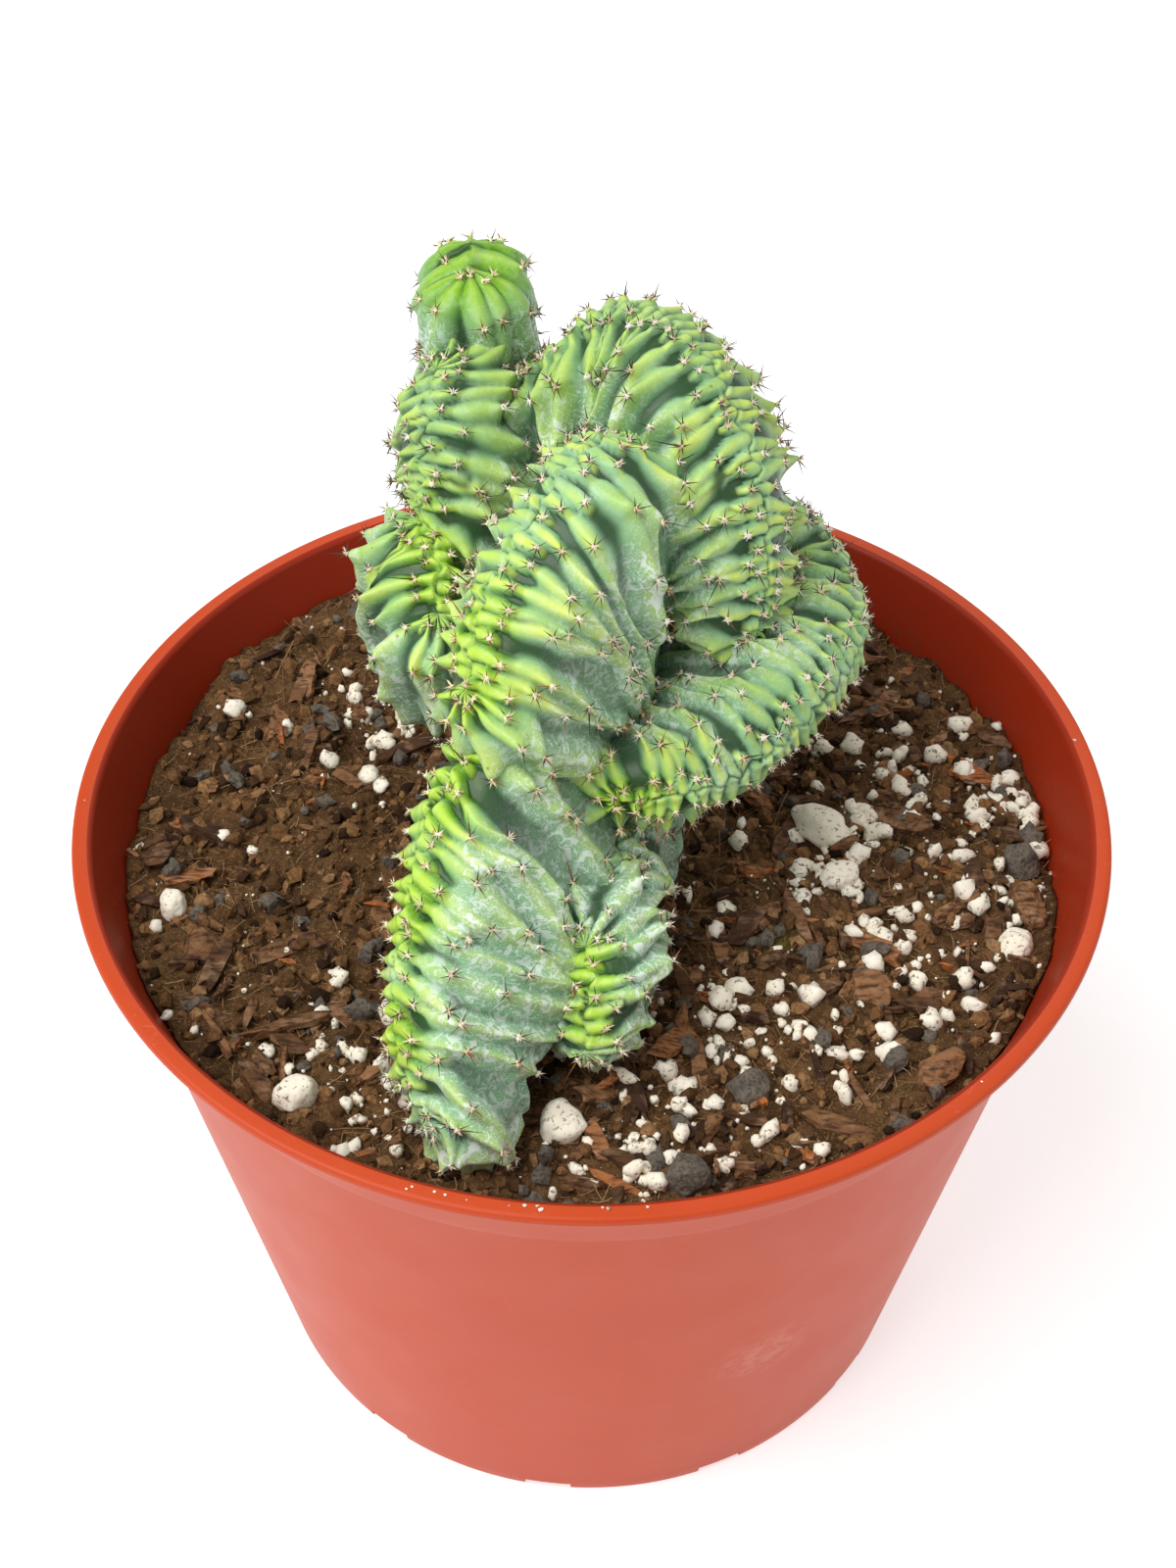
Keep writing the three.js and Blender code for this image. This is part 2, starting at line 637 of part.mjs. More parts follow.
function meshOf(name, solid, colour, roughness) {
  const material = new THREE.MeshStandardMaterial({ color: colour, roughness, metalness: 0 });
  const mesh = new THREE.Mesh(geometryOf(solid), material);
  mesh.name = name;
  return mesh;
}

const lumps = lumpList();
const plant = new THREE.Group();
plant.add(meshOf('pot', potSolid(), 0xcc5a3c, 0.4));
plant.add(meshOf('potting_mix', mixSolid(lumps), 0x4a3527, 0.95));
plant.add(meshOf('cactus', cactusSolid(), 0x86ac6e, 0.55));
for (const lump of lumps) {
  const [kind] = lump.name.split('_');
  plant.add(meshOf(lump.name, lumpSolid(lump, 1, 0), LUMP_COLOURS[kind], 0.9));
}

export default plant;
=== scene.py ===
import math
import random
from functools import partial
import bmesh
import bpy
import numpy as np
from mathutils import Matrix, Vector, bvhtree, kdtree, noise


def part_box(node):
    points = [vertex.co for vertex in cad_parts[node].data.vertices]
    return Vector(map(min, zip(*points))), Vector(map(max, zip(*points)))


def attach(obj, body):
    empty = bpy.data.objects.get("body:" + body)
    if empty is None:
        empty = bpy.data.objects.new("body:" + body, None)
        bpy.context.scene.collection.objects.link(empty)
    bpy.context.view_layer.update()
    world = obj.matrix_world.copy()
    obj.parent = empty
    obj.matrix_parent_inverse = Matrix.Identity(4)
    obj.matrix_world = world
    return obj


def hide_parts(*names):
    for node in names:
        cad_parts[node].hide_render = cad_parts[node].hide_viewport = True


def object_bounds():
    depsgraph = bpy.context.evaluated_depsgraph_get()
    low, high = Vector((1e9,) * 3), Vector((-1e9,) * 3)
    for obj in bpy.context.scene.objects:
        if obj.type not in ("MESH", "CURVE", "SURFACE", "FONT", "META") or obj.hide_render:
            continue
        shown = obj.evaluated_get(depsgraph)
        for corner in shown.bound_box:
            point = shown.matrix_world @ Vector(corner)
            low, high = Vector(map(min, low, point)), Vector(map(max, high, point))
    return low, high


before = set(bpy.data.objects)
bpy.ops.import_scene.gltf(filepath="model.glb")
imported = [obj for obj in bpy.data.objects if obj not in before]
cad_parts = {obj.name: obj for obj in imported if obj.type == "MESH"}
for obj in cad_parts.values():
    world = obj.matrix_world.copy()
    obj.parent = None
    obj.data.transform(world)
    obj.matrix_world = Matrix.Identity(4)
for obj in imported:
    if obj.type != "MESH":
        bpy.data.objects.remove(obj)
cad_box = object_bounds()
MM = 0.001

# Camera and light

LOOKS_DOWN = math.radians(44.2)
ROLL = math.radians(0.4)


def add_camera():
    """Looks down at the plant from in front, as the photograph does."""
    data = bpy.data.cameras.new("camera")
    data.lens = 54
    data.sensor_width = 36
    data.clip_start = 0.01
    data.dof.use_dof = False
    camera = bpy.data.objects.new("camera", data)
    bpy.context.scene.collection.objects.link(camera)
    camera.location = (-0.0008, -0.3313, 0.4642)
    tilt = Matrix.Rotation(math.pi / 2 - LOOKS_DOWN, 4, "X")
    camera.rotation_euler = (tilt @ Matrix.Rotation(ROLL, 4, "Z")).to_euler()
    bpy.context.scene.camera = camera


def add_light(name, location, size, power, target=(0, 0, 0.14)):
    """A soft square studio light, aimed at the plant."""
    data = bpy.data.lights.new(name, "AREA")
    data.shape = "SQUARE"
    data.size = size
    data.energy = power
    light = bpy.data.objects.new(name, data)
    bpy.context.scene.collection.objects.link(light)
    light.location = location
    light.rotation_euler = (Vector(target) - Vector(location)).to_track_quat("-Z", "Y").to_euler()


def add_studio():
    """White surroundings, a large key light from the front left and two weak ones that lift the shadows."""
    world = bpy.data.worlds.new("studio")
    bpy.context.scene.world = world
    world.use_nodes = True
    background = world.node_tree.nodes["Background"]
    background.inputs["Color"].default_value = (1, 1, 1, 1)
    background.inputs["Strength"].default_value = 0.28
    add_light("key_light", (-0.55, -0.35, 1.1), 1.0, 15.8)
    add_light("side_light", (0.9, -0.1, 0.7), 0.8, 2.4)
    add_light("back_light", (0.1, 0.9, 0.9), 0.9, 2.5)
    bpy.context.scene.view_settings.view_transform = "Standard"


# Shared helpers


def linear(hex_colour):
    """An sRGB hex colour as linear red, green, blue and alpha."""
    values = [int(hex_colour[i:i + 2], 16) / 255 for i in (1, 3, 5)]
    return tuple(v / 12.92 if v <= 0.04045 else ((v + 0.055) / 1.055) ** 2.4 for v in values) + (1.0,)


def add_node(tree, kind, settings=None, inputs=None):
    """Adds a shader node with its settings.

    An input is named or counted, and is a value, a socket, or a node that gives its first output.
    """
    added = tree.nodes.new(f"ShaderNode{kind}")
    for key, value in (settings or {}).items():
        setattr(added, key, value)
    for key, value in (inputs or {}).items():
        socket = added.inputs[key] if isinstance(key, int) else next(
            s for s in added.inputs if s.name == key and s.enabled)
        if isinstance(value, bpy.types.Node):
            value = next(s for s in value.outputs if s.enabled)
        if isinstance(value, bpy.types.NodeSocket):
            tree.links.new(value, socket)
        else:
            socket.default_value = value
    return added


def new_material(name):
    """An empty material, and the function that adds nodes to it."""
    material = bpy.data.materials.new(name)
    material.use_nodes = True
    tree = material.node_tree
    tree.nodes.clear()
    return material, partial(add_node, tree)


def new_piece(name, mesh, material, *, replaces=(), smooth=True):
    """Puts a finished mesh in the scene as a piece of the potted plant."""
    piece = bpy.data.objects.new(name, mesh)
    bpy.context.scene.collection.objects.link(piece)
    mesh.materials.clear()
    mesh.materials.append(material)
    if smooth:
        mesh.polygons.foreach_set("use_smooth", [True] * len(mesh.polygons))
    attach(piece, "root")
    if replaces:
        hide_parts(*replaces)
    return piece


def set_values(mesh, name, values):
    """Stores one number for each vertex, for the materials to read."""
    attribute = mesh.attributes.get(name) or mesh.attributes.new(name, "FLOAT", "POINT")
    attribute.data.foreach_set("value", np.asarray(values, dtype=np.float32))


def values_of(mesh, name):
    """The numbers stored under a name, or zeros."""
    values = np.zeros(len(mesh.vertices), dtype=np.float32)
    if name in mesh.attributes:
        mesh.attributes[name].data.foreach_get("value", values)
    return values


def finished(name, bm):
    """The bmesh as a mesh; the bmesh is freed."""
    mesh = bpy.data.meshes.new(name)
    bm.to_mesh(mesh)
    bm.free()
    return mesh


def joined_mesh(name, meshes):
    """Several meshes in one, each still closed in itself."""
    bm = bmesh.new()
    for mesh in meshes:
        bm.from_mesh(mesh)
    return finished(name, bm)


def positions_of(mesh):
    """The places of a mesh's vertices, a row for each."""
    flat = np.empty(len(mesh.vertices) * 3)
    mesh.vertices.foreach_get("co", flat)
    return flat.reshape(-1, 3)


def smooth_step(low, high, value):
    """0 up to low, 1 from high on, and a smooth rise between them."""
    t = np.clip((value - low) / (high - low), 0, 1)
    return t * t * (3 - 2 * t)


def cut_or_join(piece, others, operation):
    """The mesh of a piece that is joined with, or cut by, the closed meshes in a collection."""
    modifier = piece.modifiers.new("join", "BOOLEAN")
    modifier.operation = operation
    modifier.solver = "MANIFOLD"
    modifier.operand_type = "COLLECTION"
    modifier.collection = others
    graph = bpy.context.evaluated_depsgraph_get()
    return bpy.data.meshes.new_from_object(piece.evaluated_get(graph), depsgraph=graph)


# The pot's measures, in millimetres

POT_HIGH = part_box("pot")[1]
RIM_RADIUS = POT_HIGH[0] / MM
POT_HEIGHT = POT_HIGH[2] / MM
RIM_WIDTH = 3.8
RIM_DEPTH = 2
COLLAR_HEIGHT = 16
COLLAR_FLARE = 5.3
COLLAR_STEP = 0.4
COLLAR_SLOPE = 1.5
BASE_RADIUS = 72.7
WALL = 1.6
FLOOR_HEIGHT = 5
FLOOR_THICKNESS = 2
FOOT_WIDTH = 4
DRAIN_NOTCHES = 12
DRAIN_SLOTS = 6
FIRST_NOTCH = math.radians(263.3)


def inner_radius(height):
    """The pot's inner radius at a height, in millimetres."""
    collar_foot = POT_HEIGHT - COLLAR_HEIGHT
    collar_radius = RIM_RADIUS - RIM_WIDTH - COLLAR_FLARE
    if height >= collar_foot:
        return collar_radius + COLLAR_FLARE * (height - collar_foot) / COLLAR_HEIGHT
    base = BASE_RADIUS - WALL
    return base + (collar_radius - COLLAR_STEP - base) * height / collar_foot


# The cactus body

# The crests, the arm, the pup and the stems, in millimetres: the growing edge on top, the line the ribs run
# back to, and for each flank its thickness at start, middle and end and how early it thins (0 late, 1 early).
# The right flank is the one on the right hand of somebody who walks along the edge. The pitch is the distance
# between ribs, and a crest has wedges, short beans by its edge, which the arm and the stems lack. The slant
# leans the ribs of each flank, bold makes them higher or lower, bloom gives the skin more or less of its
# bluish wax, and step is the distance between the skin's points.
GROWTHS = {
    "back_arm": dict(
        edge=[(-23.6, 57.5, 228.2), (-23.4, 49, 227.6)],
        foot=[(-18, 47, 167), (-17, 44, 167)],
        right=(9.4, 9.4, 9.4), left=(9.8, 9.8, 9.8), full=(0.18, 0.18), pitch=5.5, wedges=False, bloom=0.1),
    "left_crest": dict(
        edge=[(-29.3, 33, 216.5), (-30.8, 27, 213.5), (-31.8, 22, 206), (-32.3, 20, 197), (-32.3, 21, 187)],
        foot=[(-14, 44, 191), (-15, 37, 178), (-17, 32, 163)],
        right=(10, 13, 11.5), left=(10, 11, 10), full=(0.35, 0.4), pitch=2.6, wedges=True, slant=(-0.2, 0.25),
        bold=0.72, bloom=-0.05),
    "left_fan": dict(
        edge=[(-33, 21, 190), (-30, 15, 190), (-29, 9, 187), (-29, 4, 182)],
        foot=[(-30, 24, 152), (-27, 14, 148)],
        right=(8, 8, 7), left=(12, 15, 12), full=(0.4, 0.3), pitch=2.9, wedges=True),
    "centre_crest": dict(
        edge=[(6, 12, 216), (1, 4, 221), (-5, -3, 220), (-11, -8, 214), (-17, -16, 207), (-21, -24, 199),
              (-22, -28, 192)],
        foot=[(8, 12, 176), (8, 3, 172), (6, -4, 167), (1, -8, 161)],
        right=(10, 14, 11), left=(11, 11, 9), full=(0.3, 0.5), pitch=3.0, wedges=True),
    "right_crest": dict(
        edge=[(-11, 38, 214), (-5, 37, 221), (4, 38, 227), (12, 34, 228), (19, 24, 226), (26, 13, 218),
              (30, 6, 209), (31, 2, 200), (31, -1, 191), (30, -2, 184)],
        foot=[(-4, 30, 180), (5, 24, 179), (12, 19, 180), (15, 17, 182), (16, 18, 181)],
        right=(9, 14, 10), left=(9, 14, 9), full=(0.4, 0.3), pitch=2.7, wedges=True, bloom=-0.15),
    "right_fan": dict(
        edge=[(5, -28, 165), (15, -28, 166), (25, -25, 168), (35, -17, 170), (44, -7, 173), (50, 4, 175),
              (51, 15, 177), (48, 26, 180), (42, 32, 184)],
        foot=[(0, -6, 156), (2, 0, 157), (6, 8, 159), (12, 16, 163)],
        right=(8, 12, 9), left=(5.5, 7, 5.5), full=(0.35, 0.5), pitch=2.6, wedges=True, bloom=0.1),
    "front_lobe": dict(
        edge=[(-24, -30, 177), (-29, -38, 170), (-31.5, -46, 164), (-33.5, -53, 157), (-34.5, -62, 150),
              (-33.5, -69.5, 143), (-29, -78, 136)],
        foot=[(2, -20, 152), (-1, -37, 142), (-6, -54, 136), (-14, -68, 132)],
        right=(9, 12, 9), left=(9, 10.5, 9), full=(0.2, 0.5), pitch=3.3, wedges=True, slant=(0.5, 0.1),
        bold=1.15, bloom=0.3),
    "pup": dict(
        edge=[(-1, -51, 151), (-1, -56, 149), (-1, -61, 146), (-1, -66, 140)],
        foot=[(8, -26, 140), (6, -34, 138), (4, -42, 137)],
        right=(8, 10, 7), left=(8, 8, 7), full=(0.3, 0.45), pitch=2.7, wedges=True, bloom=0.8),
    "pup_stem": dict(
        edge=[(7, -16, 150), (5, -30, 151), (2, -44, 151)],
        foot=[(7, -16, 134), (5, -28, 136), (3, -40, 138)],
        right=(7, 8, 8), left=(7, 8, 8), full=(0.4, 0.4), pitch=3.4, wedges=True, bloom=1.0),
    "stem": dict(
        edge=[(-18, 49, 183), (-11, 36, 183), (-3, 22, 180), (4, 9, 176), (5, -6, 168)],
        foot=[(-9, 32, 144), (4, 6, 134), (6, -4, 130)],
        right=(11, 14, 11), left=(11, 14, 11), full=(0.4, 0.4), pitch=7.5, wedges=False, step=0.85,
        bloom=1.0),
    "left_stem": dict(
        edge=[(-24, 22, 164), (-10, 10, 166)],
        foot=[(-10, 16, 140), (-2, 6, 136)],
        right=(9, 11, 11), left=(9, 11, 11), full=(0.4, 0.4), pitch=7, wedges=False, step=0.85, bloom=1.0),
    "trunk": dict(
        edge=[(5.5, -4, 152), (8.5, -4, 152)],
        foot=[(5.5, -4, 104), (8.5, -4, 104)],
        right=(8.2, 8.2, 8.2), left=(8.2, 8.2, 8.2), full=(0.1, 0.1), pitch=6.2, wedges=False, step=0.85,
        bloom=1.0),
}
# The plant's three fused parts
PARTS = {
    "cactus_back": ("back_arm", "left_crest", "left_fan", "left_stem", "stem", "trunk"),
    "cactus_middle": ("centre_crest", "right_crest"),
    "cactus_front": ("right_fan", "front_lobe", "pup", "pup_stem"),
}
# How high the rounded head over a growing edge is, as a share of the flank's thickness
HEAD_SHARE = 0.9
# The numbers each point of the skin carries for its material
SKIN_VALUES = ("crease", "ridge", "seam", "along", "tint", "fresh", "bloom")
# How far apart the skin's points are in millimetres, where a growth gives no step of its own
SKIN_STEP = 0.43

# Where the newest, brightest growth is: a point and a reach in millimetres
FRESH = [((-23.6, 52, 229), 16), ((-30, 10, 190), 13), ((-22, -27, 196), 17), ((4, -30, 167), 11),
         ((-26, -34, 176), 13), ((-32, -50, 161), 11), ((-34, -67, 146), 9), ((-1, -56, 151), 7),
         ((-1, -64, 145), 6)]


def smooth_curve(points, count):
    """Evenly spaced points of a centripetal curve through the given ones, and its length."""
    p = np.array(points, dtype=float)
    p = np.vstack([2 * p[0] - p[1], p, 2 * p[-1] - p[-2]])
    dense = []
    for p0, p1, p2, p3 in zip(p, p[1:], p[2:], p[3:]):
        d0, d1, d2 = (math.sqrt(np.linalg.norm(b - a)) for a, b in ((p0, p1), (p1, p2), (p2, p3)))
        t1 = ((p1 - p0) / d0 - (p2 - p0) / (d0 + d1) + (p2 - p1) / d1) * d1
        t2 = ((p2 - p1) / d1 - (p3 - p1) / (d1 + d2) + (p3 - p2) / d2) * d1
        t = np.linspace(0, 1, 40, endpoint=False)[:, None]
        dense.append((2 * t**3 - 3 * t**2 + 1) * p1 + (t**3 - 2 * t**2 + t) * t1
                     + (3 * t**2 - 2 * t**3) * p2 + (t**3 - t**2) * t2)
    dense = np.vstack(dense + [p[-2:-1]])
    run = np.concatenate([[0], np.cumsum(np.linalg.norm(np.diff(dense, axis=0), axis=1))])
    at = np.linspace(0, run[-1], count)
    return np.stack([np.interp(at, run, dense[:, axis]) for axis in range(3)], axis=1), run[-1]


def unit(vectors):
    """The vectors at a length of one."""
    return vectors / np.linalg.norm(vectors, axis=-1, keepdims=True)


def spread(sizes, u):
    """A size that goes from the first over the middle one to the last."""
    start, middle, end = sizes
    ends = np.where(u < 0.5, start, end)
    return ends + (middle - ends) * np.sin(np.pi * np.minimum(u, 1 - u))


def edge_frames(growth, steps):
    """The point, way down, depth, way ahead, way to the right and both thicknesses along a growing edge."""
    top, length = smooth_curve(growth["edge"], steps + 1)
    foot, _ = smooth_curve(growth["foot"], steps + 1)
    down = foot - top
    depth = np.linalg.norm(down, axis=1)
    down = unit(down)
    ahead = np.gradient(top, axis=0)
    ahead = unit(ahead - (ahead * down).sum(axis=1, keepdims=True) * down)
    side = unit(np.cross(ahead, down))
    u = np.linspace(0, 1, steps + 1)
    return dict(top=top, down=down, depth=depth, ahead=ahead, side=side, along=u * length,
                right=spread(growth["right"], u), left=spread(growth["left"], u)), length


def loop_round(growth):
    """The columns of a growth's skin, which go round it: right side, end, left side, start.

    The run is each column's distance round the loop, in millimetres. Gives also the length of the edge and
    where each of the four begins.
    """
    _, length = smooth_curve(growth["edge"], 2)
    step = growth.get("step", SKIN_STEP)
    steps = max(2, round(length / step))
    f, length = edge_frames(growth, steps)
    end_arc = math.pi * 0.5 * (f["right"][-1] + f["left"][-1]) * HEAD_SHARE
    start_arc = math.pi * 0.5 * (f["right"][0] + f["left"][0]) * HEAD_SHARE
    full_right, full_left = growth["full"]
    parts = []
    for indices, sign, arc in (
            (list(range(steps)), 1, 0), ([steps] * round(end_arc / step), 1, end_arc),
            (list(range(steps, 0, -1)), -1, 0), ([0] * round(start_arc / step), -1, start_arc)):
        count = len(indices)
        angle = np.linspace(0, math.pi, count, endpoint=False) if arc else np.zeros(count)
        sideways = f["side"][indices] * np.cos(angle)[:, None]
        out = sign * (sideways + f["ahead"][indices] * np.sin(angle)[:, None])
        # the share of the left flank, which grows round the end and falls again round the start
        share = 0.5 - 0.5 * np.cos(angle)
        share = share if sign > 0 else 1 - share
        parts.append(dict(
            out=out,
            pace=np.full(count, arc / count if arc else length / steps),
            zig=np.full(count, 0.0 if arc else 1.0),
            half=f["right"][indices] * (1 - share) + f["left"][indices] * share,
            full=full_right * (1 - share) + full_left * share,
            **{key: f[key][indices] for key in ("top", "down", "depth", "side", "along")}))
    loop = {key: np.concatenate([part[key] for part in parts]) for key in parts[0]}
    loop["run"] = np.concatenate([[0], np.cumsum(loop["pace"])[:-1]])
    loop["round"] = loop["pace"].sum()
    # the zigzag of the seam dies out towards both ends of the edge
    loop["zig"] = loop["zig"] * smooth_step(0, 5, loop["along"]) * smooth_step(0, 5, length - loop["along"])
    starts = [0, length, length + end_arc, 2 * length + end_arc]
    return loop, length, starts


def sections(loop, shares):
    """Each column's cross section at the given shares of its way from edge to foot.

    Gives how far out and how far below the edge its points lie, and the length of each column.
    """
    angle = np.linspace(0, math.pi / 2, 40)
    fall = np.linspace(0, 1, 40)[1:]
    out, below, lengths = [], [], []
    for half, depth, full in zip(loop["half"], loop["depth"], loop["full"]):
        width = np.cos(math.pi / 2 * fall).clip(0) ** full
        width[-1] = 0
        head = HEAD_SHARE * half
        x = np.concatenate([half * np.sin(angle), half * width])
        y = np.concatenate([head * (1 - np.cos(angle)), head + (depth - head) * fall])
        run = np.concatenate([[0], np.cumsum(np.hypot(np.diff(x), np.diff(y)))])
        out.append(np.interp(shares * run[-1], run, x))
        below.append(np.interp(shares * run[-1], run, y))
        lengths.append(run[-1])
    return np.array(out).T, np.array(below).T, np.array(lengths)


def bean_columns(pitch, length, starts, total_round, draw):
    """Where the columns of beans stand round the loop, and the rank of each; across the seam they interlock.

    Rank 2 runs down the whole flank, rank 1 part of it, and rank 0 is a short wedge by the seam.
    """
    _, end_cap, back, start_cap = starts
    flanks = list(np.arange(0.5 * pitch, length - 0.3 * pitch, pitch))
    flanks += list(back + length - np.arange(pitch, length - 0.3 * pitch, pitch))
    columns = [(c, (2, 0, 2, 1)[index % 4]) for index, c in enumerate(sorted(flanks))]
    for begin, arc in ((end_cap, back - end_cap), (start_cap, total_round - start_cap)):
        count = max(3, round(arc / (pitch * 0.95)))
        columns += [(begin + arc * (i + 0.5) / count, (2, 0)[i % 2]) for i in range(count)]
    return [(c + draw.uniform(-0.2, 0.2) * pitch, rank) for c, rank in sorted(columns)]


def slant_at(place, slants, starts, total_round):
    """How far a column leans towards the edge's end: its flank's slant, which turns over round the ends."""
    _, end_cap, back, start_cap = starts
    right, left = slants
    if place < end_cap:
        return right
    if place < back:
        share = (place - end_cap) / (back - end_cap)
        return right * (1 - share) - left * share
    if place < start_cap:
        return -left
    share = (place - start_cap) / (total_round - start_cap)
    return -left * (1 - share) + right * share


def bean_rows(rank, growth, total, draw):
    """The beans of one column as (start, end) distances from the seam."""
    if not growth["wedges"]:
        at, lengths = draw.choice((-6.5, -3.5, 0)), [9.5, 9, 9.5, 10, 10, 10, 10]
    elif rank == 2:
        at, lengths = draw.uniform(-5.5, 0.8), [9, 10, 11.5, 13, 14, 16, 16]
    elif rank == 1:
        at, lengths = draw.uniform(-3.5, 0.4), [7, 9][:draw.choice((1, 2, 2))]
    else:
        at, lengths = draw.uniform(-1.6, 0.5), [4.4]
    rows = []
    for length in lengths:
        length *= draw.uniform(0.8, 1.2)
        if at + length > 0.86 * total:
            break
        if at + length > 1.6:
            rows.append((at, at + length))
        at += length
    return rows


def wander(run, s, scale, shift):
    """Smooth noise over the skin, with features of the given sizes in millimetres."""
    across, along = scale
    return np.array([[noise.noise(Vector((c / across, d / along, 0)) + shift) for c in run] for d in s])


def column_profile(beans, rank, crested):
    """How high a column stands along its way from the seam: it climbs to each areole and drops behind it."""
    places, levels = [], []
    for start, end in beans:
        far = float(smooth_step(5, 20, start)) if crested else 0.9
        low = 0.4 + 0.38 * far
        places += [start + 1.0, start + 0.5 * (end - start), end - 1.1, end - 0.1]
        levels += [low, 0.5 + 0.5 * low, 1.0, 0.6 + 0.3 * low]
    if rank < 2:
        places += [end + 0.3, end + 1.2]
        levels += [0.3, 0.0]
    else:
        places.append(end + 2.4)
        levels.append(low)
    return places, levels


def evened(field, share):
    """Mixes each point's neighbours in by its row's share, where the points lie too far apart for detail."""
    even = 0.5 * field + 0.25 * (np.roll(field, 1, axis=1) + np.roll(field, -1, axis=1))
    even[1:-1] = 0.5 * even[1:-1] + 0.25 * (even[2:] + even[:-2])
    return field + (even - field) * share[:, None]


def raise_beans(loop, s, starts, length, total, growth, spacing, draw):
    """The relief of the beans and ribs over the skin.

    Gives the height in millimetres, a field for each of crease, ridge, along and tint, which are 1 in a
    crease, on the ridge line, at the bean's areole and on the yellowest beans, and the tips with areoles.
    """
    shape = (len(s), len(loop["run"]))
    height, second = np.zeros(shape), np.zeros(shape)
    values = {"ridge": np.zeros(shape), "along": np.zeros(shape), "tint": np.full(shape, 0.5)}
    tips = []
    ring = loop["round"]
    shift = Vector((draw.uniform(0, 90), draw.uniform(0, 90), 0))
    pitch = growth["pitch"]
    crested = growth["wedges"]
    stray = 1.7 if crested else 0.7
    astray = stray * wander(loop["run"], s, (15, 12), shift) * smooth_step(2, 12, s)[:, None]
    run = loop["run"][None, :] + astray
    depth = s[:, None] + 1.2 * wander(loop["run"], s, (9, 15), shift + Vector((0, 0, 7)))
    for place, rank in bean_columns(pitch, length, starts, ring, draw):
        rank = rank if crested else 2
        beans = bean_rows(rank, growth, total, draw)
        if not beans:
            continue
        lean = draw.uniform(-0.14, 0.14) + slant_at(place, growth.get("slant", (0, 0)), starts, ring)
        curl = draw.uniform(-0.006, 0.006)
        tint = draw.random()
        reach = 2.5 * pitch + 3 + abs(lean) * total
        near = (np.abs((run - place + ring / 2) % ring - ring / 2) < reach).any(axis=0)
        index = np.nonzero(near)[0]
        dd = depth[:, index]
        dx = (run[:, index] - place + ring / 2) % ring - ring / 2 - lean * dd - curl * dd**2
        first, last = beans[0][0], beans[-1][1]
        ends = np.array([end for _, end in beans])
        which = np.clip(np.searchsorted(ends, dd), 0, len(beans) - 1)
        begins = np.array([start for start, _ in beans])[which]
        along = np.clip((dd - begins) / (ends[which] - begins), 0, 1)
        behind = np.exp(-np.maximum(dd - begins, 0) / 1.6) * (begins > first + 0.1)
        if not crested:
            wide, tall = 0.62 * pitch + 0 * dd, 0.7 + 2.4 * smooth_step(0, 15, dd)
        elif rank == 2:
            wide = pitch * (0.62 + 0.58 * smooth_step(4, 17, dd))
            tall = (1.9 + 2.1 * smooth_step(5, 19, dd)) * growth.get("bold", 1)
        elif rank == 1:
            wide = pitch * (0.6 + 0.35 * smooth_step(4, 12, dd))
            tall = 1.8 + 0.6 * smooth_step(3, 12, dd)
        else:
            wide = pitch * 0.58 + 0 * dd
            tall = 1.7 + 0 * dd
        # a bean narrows to its areole, and the next one starts narrow behind it
        narrow_start = (1 - smooth_step(0, 0.3, along)) * (begins > first + 0.1)
        narrow = np.maximum(smooth_step(0.5, 1, along), narrow_start)
        narrow = narrow * (1 - smooth_step(last, last + 4, dd) * (rank == 2))
        narrow = narrow * (1 - 0.6 * smooth_step(7, 18, dd))
        wide = wide * (1 - (0.38 if crested else 0.12) * narrow) * draw.uniform(0.9, 1.12)
        tall = tall * draw.uniform(0.88, 1.12)
        lengthwise = np.interp(dd, *column_profile(beans, rank, crested))
        if crested:
            from_start = np.clip((dd - max(first, 0) + 0.25) / 1.3, 0, 1)
            lengthwise = lengthwise * np.sqrt(1 - (1 - from_start) ** 2)
        far = smooth_step(4, 15, dd) if crested else 0.1
        share = np.clip(np.abs(dx) / wide, 0, 1)
        cross = (1 - share ** (2.2 - 1.2 * far)) ** (0.56 + 0.74 * far)
        value = tall * lengthwise * cross
        # the teeth that carry the areoles
        for start, end in beans:
            size = float(smooth_step(5, 20, end)) if crested else 0.1
            value = value + (0.25 + 1.5 * size) * np.exp(-((dd - end + 0.8) / (1.0 + 0.9 * size)) ** 2
                                                        - (dx / (0.9 + 0.7 * size)) ** 2)
            row = int(np.argmin(np.abs(s - (end - 0.7))))
            column = int(index[np.argmin(np.abs(dx[row]))])
            if spacing[row, column] > 0.22:
                tips.append((row, column))
        better = value > height[:, index]
        second[:, index] = np.where(better, height[:, index], np.maximum(second[:, index], value))
        height[:, index] = np.where(better, value, height[:, index])
        for key, new in (("ridge", 1 - share), ("along", np.maximum(along, behind)), ("tint", tint + 0 * dd)):
            values[key][:, index] = np.where(better, new, values[key][:, index])
    # a thin furrow wherever two beans meet
    furrow = np.exp(-((height - second) / 0.38) ** 2)
    values["crease"] = np.maximum(furrow, 1 - np.clip(height / 0.8, 0, 1))
    if not crested:
        values["ridge"] = 0.5 * values["ridge"]
    height = height - 0.35 * furrow * (1 - 0.7 * smooth_step(10, 24, s))[:, None]
    for key in ("crease", "ridge"):
        values[key] = evened(values[key], smooth_step(5, 11, s))
    return evened(height, smooth_step(6, 12, s)), values, tips


def row_places(total, step):
    """Distances of the rings of points from the seam: close by the beans, wider apart down the flanks."""
    places = [0.0]
    while places[-1] < total - 1.5 * step:
        places.append(places[-1] + step)
        step = min(1.15, step * (1.04 if places[-1] > 12 else 1))
    return np.array(places + [total])


